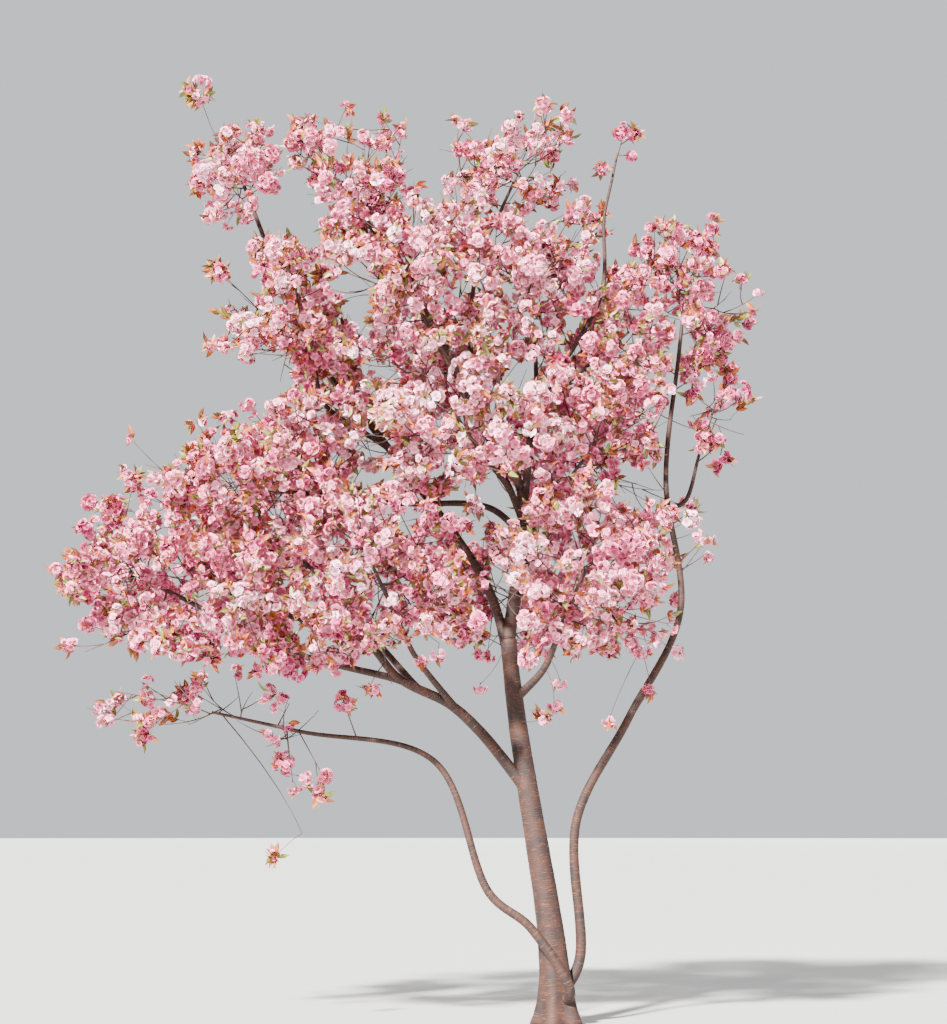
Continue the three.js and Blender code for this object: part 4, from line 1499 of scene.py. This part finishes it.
tuft_count = len(tufts["place"])
tuft_sizes = shaping.uniform(*TUFT_SIZES, tuft_count)
tuft_turns = turned(tufts["facing"] + HANG, shaping.random(tuft_count) * ANY_TURN)
four = shaping.random(tuft_count) < SHARE_OF_FOURS
tuft_tint = np.clip(np.round(tufts["tint"]), 0, len(PETALS) - 1).astype(int)
outer_tilt = np.where(four, TILTS["round_it"], TILTS["side_by_side"])
dealt = {"place": [], "facing": [], "size": [], "tint": []}
for number, present in enumerate([np.full(tuft_count, True)] * 3 + [four]):
    tilt = TILTS["middle"] if number == 3 else outer_tilt
    tilt = tilt + shaping.normal(size=tuft_count) * FLOWER_STRAY["tilt"]
    angle = number * 2 * math.pi / 3 + shaping.normal(size=tuft_count) * FLOWER_STRAY["angle"]
    local = np.stack([np.sin(tilt) * np.cos(angle), np.sin(tilt) * np.sin(angle), np.cos(tilt)], axis=1)
    facing = np.einsum("nij,nj->ni", tuft_turns, local)
    askew = facing + shaping.normal(size=facing.shape) * FLOWER_STRAY["facing"]
    size = FLOWER_RADIUS * tuft_sizes * shaping.uniform(*FLOWER_SIZES, tuft_count)
    dealt["place"].append((tufts["place"] + facing * (TUFT_SPREAD * tuft_sizes)[:, None])[present])
    dealt["facing"].append(askew[present])
    dealt["size"].append(size[present])
    dealt["tint"].append(tuft_tint[present])
dealt = {key: np.concatenate(values) for key, values in dealt.items()}
flower_count = len(dealt["place"])
print("flowers:", flower_count)

# %% [markdown]
# The flowers of one tint are joined into one piece, or into two where there are too many for one. Each flower
# is one of a few models, turned and sized on its own, and carries a number that says how near the rim each of
# its points is.

# %% Make the blossom
PIECE_LIMIT = 190000


def joined_copies(name, models, kinds, places, turns, sizes, material):
    points, triangles, rims, offset = [], [], [], 0
    for kind, model in enumerate(models):
        here = kinds == kind
        made, faces = copies(model, places[here] * MM, turns[here], sizes[here] * MM)
        points.append(made)
        triangles.append(faces + offset)
        rims.append(np.tile(model["rim"], here.sum()))
        offset += len(made)
    mesh = mesh_of(name, np.concatenate(points), [np.concatenate(triangles)], rim=np.concatenate(rims))
    mesh.materials.append(material)
    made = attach(add_object(name, mesh), "root")
    print(name, triangles_in(made))


flower_turns = turned(dealt["facing"], shaping.random(flower_count) * ANY_TURN)
flower_kinds = shaping.integers(0, FLOWER_MODELS, flower_count)
for tint, material in enumerate(PETALS):
    chosen = np.flatnonzero(dealt["tint"] == tint)
    pieces = math.ceil(len(chosen) * len(flowers[0]["triangles"]) / PIECE_LIMIT)
    for piece in range(pieces):
        some = chosen[piece::pieces]
        joined_copies(f"{material.name}_{piece + 1}", flowers, flower_kinds[some], dealt["place"][some],
                      flower_turns[some], dealt["size"][some], material)

# %% [markdown]
# ## Young leaves
# The leaves open together with the flowers. A leaf is a strip of a few faces whose ends are pinched together,
# folded along its middle and curved back. A flat leaf would need fewer faces but would vanish edge on.

# %% Model the leaves
LEAF_MODELS = 4
LEAF_OUTLINE = (0.0, 0.19, 0.16, 0.0)
LEAF_ROWS = len(LEAF_OUTLINE) - 1
LEAF_CURLS = (0.15, 0.5)
LEAF_FOLDS = (0.25, 0.6)
LEAF_RIM_SCALE = 5
MERGE_DISTANCE = 0.001


def leaf_model():
    shape = bmesh.new()
    bmesh.ops.create_grid(shape, x_segments=2, y_segments=LEAF_ROWS, size=0.5)
    curl, fold = shaping.uniform(*LEAF_CURLS), shaping.uniform(*LEAF_FOLDS)
    for vert in shape.verts:
        row = round((vert.co.y + 0.5) * LEAF_ROWS)
        side = round(vert.co.x * 2) * LEAF_OUTLINE[row]
        run = row / LEAF_ROWS
        vert.co = Vector((side, abs(side) * fold - curl * run * run, run))
    bmesh.ops.remove_doubles(shape, verts=shape.verts, dist=MERGE_DISTANCE)
    bmesh.ops.triangulate(shape, faces=shape.faces)
    bmesh.ops.recalc_face_normals(shape, faces=shape.faces)
    shape.verts.index_update()
    points = np.array([vert.co[:] for vert in shape.verts])
    triangles = np.array([[vert.index for vert in face.verts] for face in shape.faces])
    shape.free()
    return {"points": points, "triangles": triangles, "rim": np.abs(points[:, 0]) * LEAF_RIM_SCALE}


leaves = [leaf_model() for _ in range(LEAF_MODELS)]
print("faces of a leaf:", len(leaves[0]["triangles"]))

# %% [markdown]
# Young leaves are coppery brown, bronze or green by their age. The rib is paler than the blade, and since a
# leaf is only a few faces wide, a number at each point says how far from the rib it lies.

# %% Leaf finish
def leaf_finish(name, blade, rib):
    finish = Finish(name, Roughness=0.42)
    place = finish.add("TexCoord").outputs["Object"]
    side = finish.add("Attribute", attribute_name="rim").outputs["Fac"]
    tone = finish.add("TexNoise", {"Vector": place, "Scale": 22.0, "Detail": 2.0}).outputs["Fac"]
    vein = finish.add("TexNoise", {"Vector": place, "Scale": 180.0, "Detail": 2.0}).outputs["Fac"]
    base = finish.ramp(side, (0.0, rib), (0.4, blade))
    shade = finish.ramp(tone, (0.3, colour(190, 190, 190)), (0.7, colour(255, 255, 255)))
    finish.into("Base Color", finish.mix("MULTIPLY", 1.0, base, shade))
    finish.bump(vein, distance=0.002, strength=0.5)
    return finish.material


LEAF_FINISHES = [
    leaf_finish("leaves_copper", colour(166, 74, 26), colour(198, 112, 50)),
    leaf_finish("leaves_bronze", colour(116, 66, 28), colour(158, 100, 46)),
    leaf_finish("leaves_olive", colour(110, 112, 30), colour(148, 146, 58)),
]
LEAF_SHARES = (0.42, 0.32, 0.26)

# %% [markdown]
# Leaves stand round the tufts, a couple to each, but they open in groups: noise gives some parts of the crown
# many and others few.

# %% Leaves round the tufts
LEAF_LENGTH = 108
LEAVES_PER_TUFT = 1.9
LEAF_GROUPS = {"scale": 3.4, "least": 0.25, "depth": 4.0}
LEAF_WAY = {"along": 0.5, "out": 0.35, "stray": 0.6}
LEAF_ROOT = 6
LEAF_SIZES = (0.75, 1.2)

group_noise = np.array([noise.noise(Vector(place)) for place in tufts["place"] * MM * LEAF_GROUPS["scale"]])
leafiness = np.clip(1 + LEAF_GROUPS["depth"] * group_noise, LEAF_GROUPS["least"], None)
owners = np.repeat(np.arange(tuft_count), shaping.poisson(LEAVES_PER_TUFT * leafiness))
along = normalized(tufts["place"] - tufts["start"])[owners]
out = tufts["facing"][owners]
stray = shaping.normal(size=along.shape) * LEAF_WAY["stray"]
leaf_way = normalized(along * LEAF_WAY["along"] + out * LEAF_WAY["out"] + stray)
leaf_place = tufts["place"][owners] - out * LEAF_ROOT
leaf_size = LEAF_LENGTH * shaping.uniform(*LEAF_SIZES, len(owners))
print("leaves round the tufts:", len(owners))

# %% [markdown]
# The leafy shoots get leaves all along, and a green stalk that starts on the twig. A shoot is left out where
# its twig carries no blossom, because it would stand there alone.

# %% Leaves on the shoots
SHOOT = {"leaves": 11, "first": 0.15, "stray": 0.55, "foot": 0.9, "stalk": 222, "radius": 2.5, "sides": 4}
shoot_lines = []
for name, part in crown.items():
    for twig, start, direction in part["shoots"]:
        tip = start + direction * LEAF_BLADE["length"]
        if not twig.get("carrying") or not shown(name, tip[None])[0]:
            continue
        shares = np.linspace(SHOOT["first"], 1, SHOOT["leaves"])[:, None]
        spread = normalized(direction + shaping.normal(size=(SHOOT["leaves"], 3)) * SHOOT["stray"])
        along = start + direction * shares * (LEAF_BLADE["length"] - LEAF_LENGTH)
        leaf_place = np.concatenate([leaf_place, along])
        leaf_way = np.concatenate([leaf_way, spread])
        leaf_size = np.concatenate([leaf_size, np.full(SHOOT["leaves"], LEAF_LENGTH)])
        foot = bent_place(twig["bent"], SHOOT["foot"])
        shoot_lines.append([foot, start, start + direction * SHOOT["stalk"]])
print("leafy shoots:", len(shoot_lines))

# %% [markdown]
# Like the flowers, the leaves are dealt out to pieces with a plain base colour each, and the shoots' stalks
# are one more piece of tubes.

# %% Make the leaves
leaf_turns = turned(leaf_way, shaping.random(len(leaf_way)) * ANY_TURN)
leaf_kinds = shaping.integers(0, LEAF_MODELS, len(leaf_way))
leaf_tints = shaping.choice(len(LEAF_FINISHES), len(leaf_way), p=LEAF_SHARES)
for tint, material in enumerate(LEAF_FINISHES):
    some = leaf_tints == tint
    joined_copies(material.name, leaves, leaf_kinds[some], leaf_place[some], leaf_turns[some],
                  leaf_size[some], material)
shoot_lines = np.array(shoot_lines)
shoot_radii = np.full(shoot_lines.shape[:2], SHOOT["radius"])
tube_object("leafy_shoots", [(shoot_lines, shoot_radii, SHOOT["sides"])], GREEN_WOOD)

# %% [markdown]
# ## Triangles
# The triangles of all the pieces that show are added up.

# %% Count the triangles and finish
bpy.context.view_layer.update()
print("triangles in all:", sum(triangles_in(piece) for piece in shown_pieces() if piece.type == "MESH"))
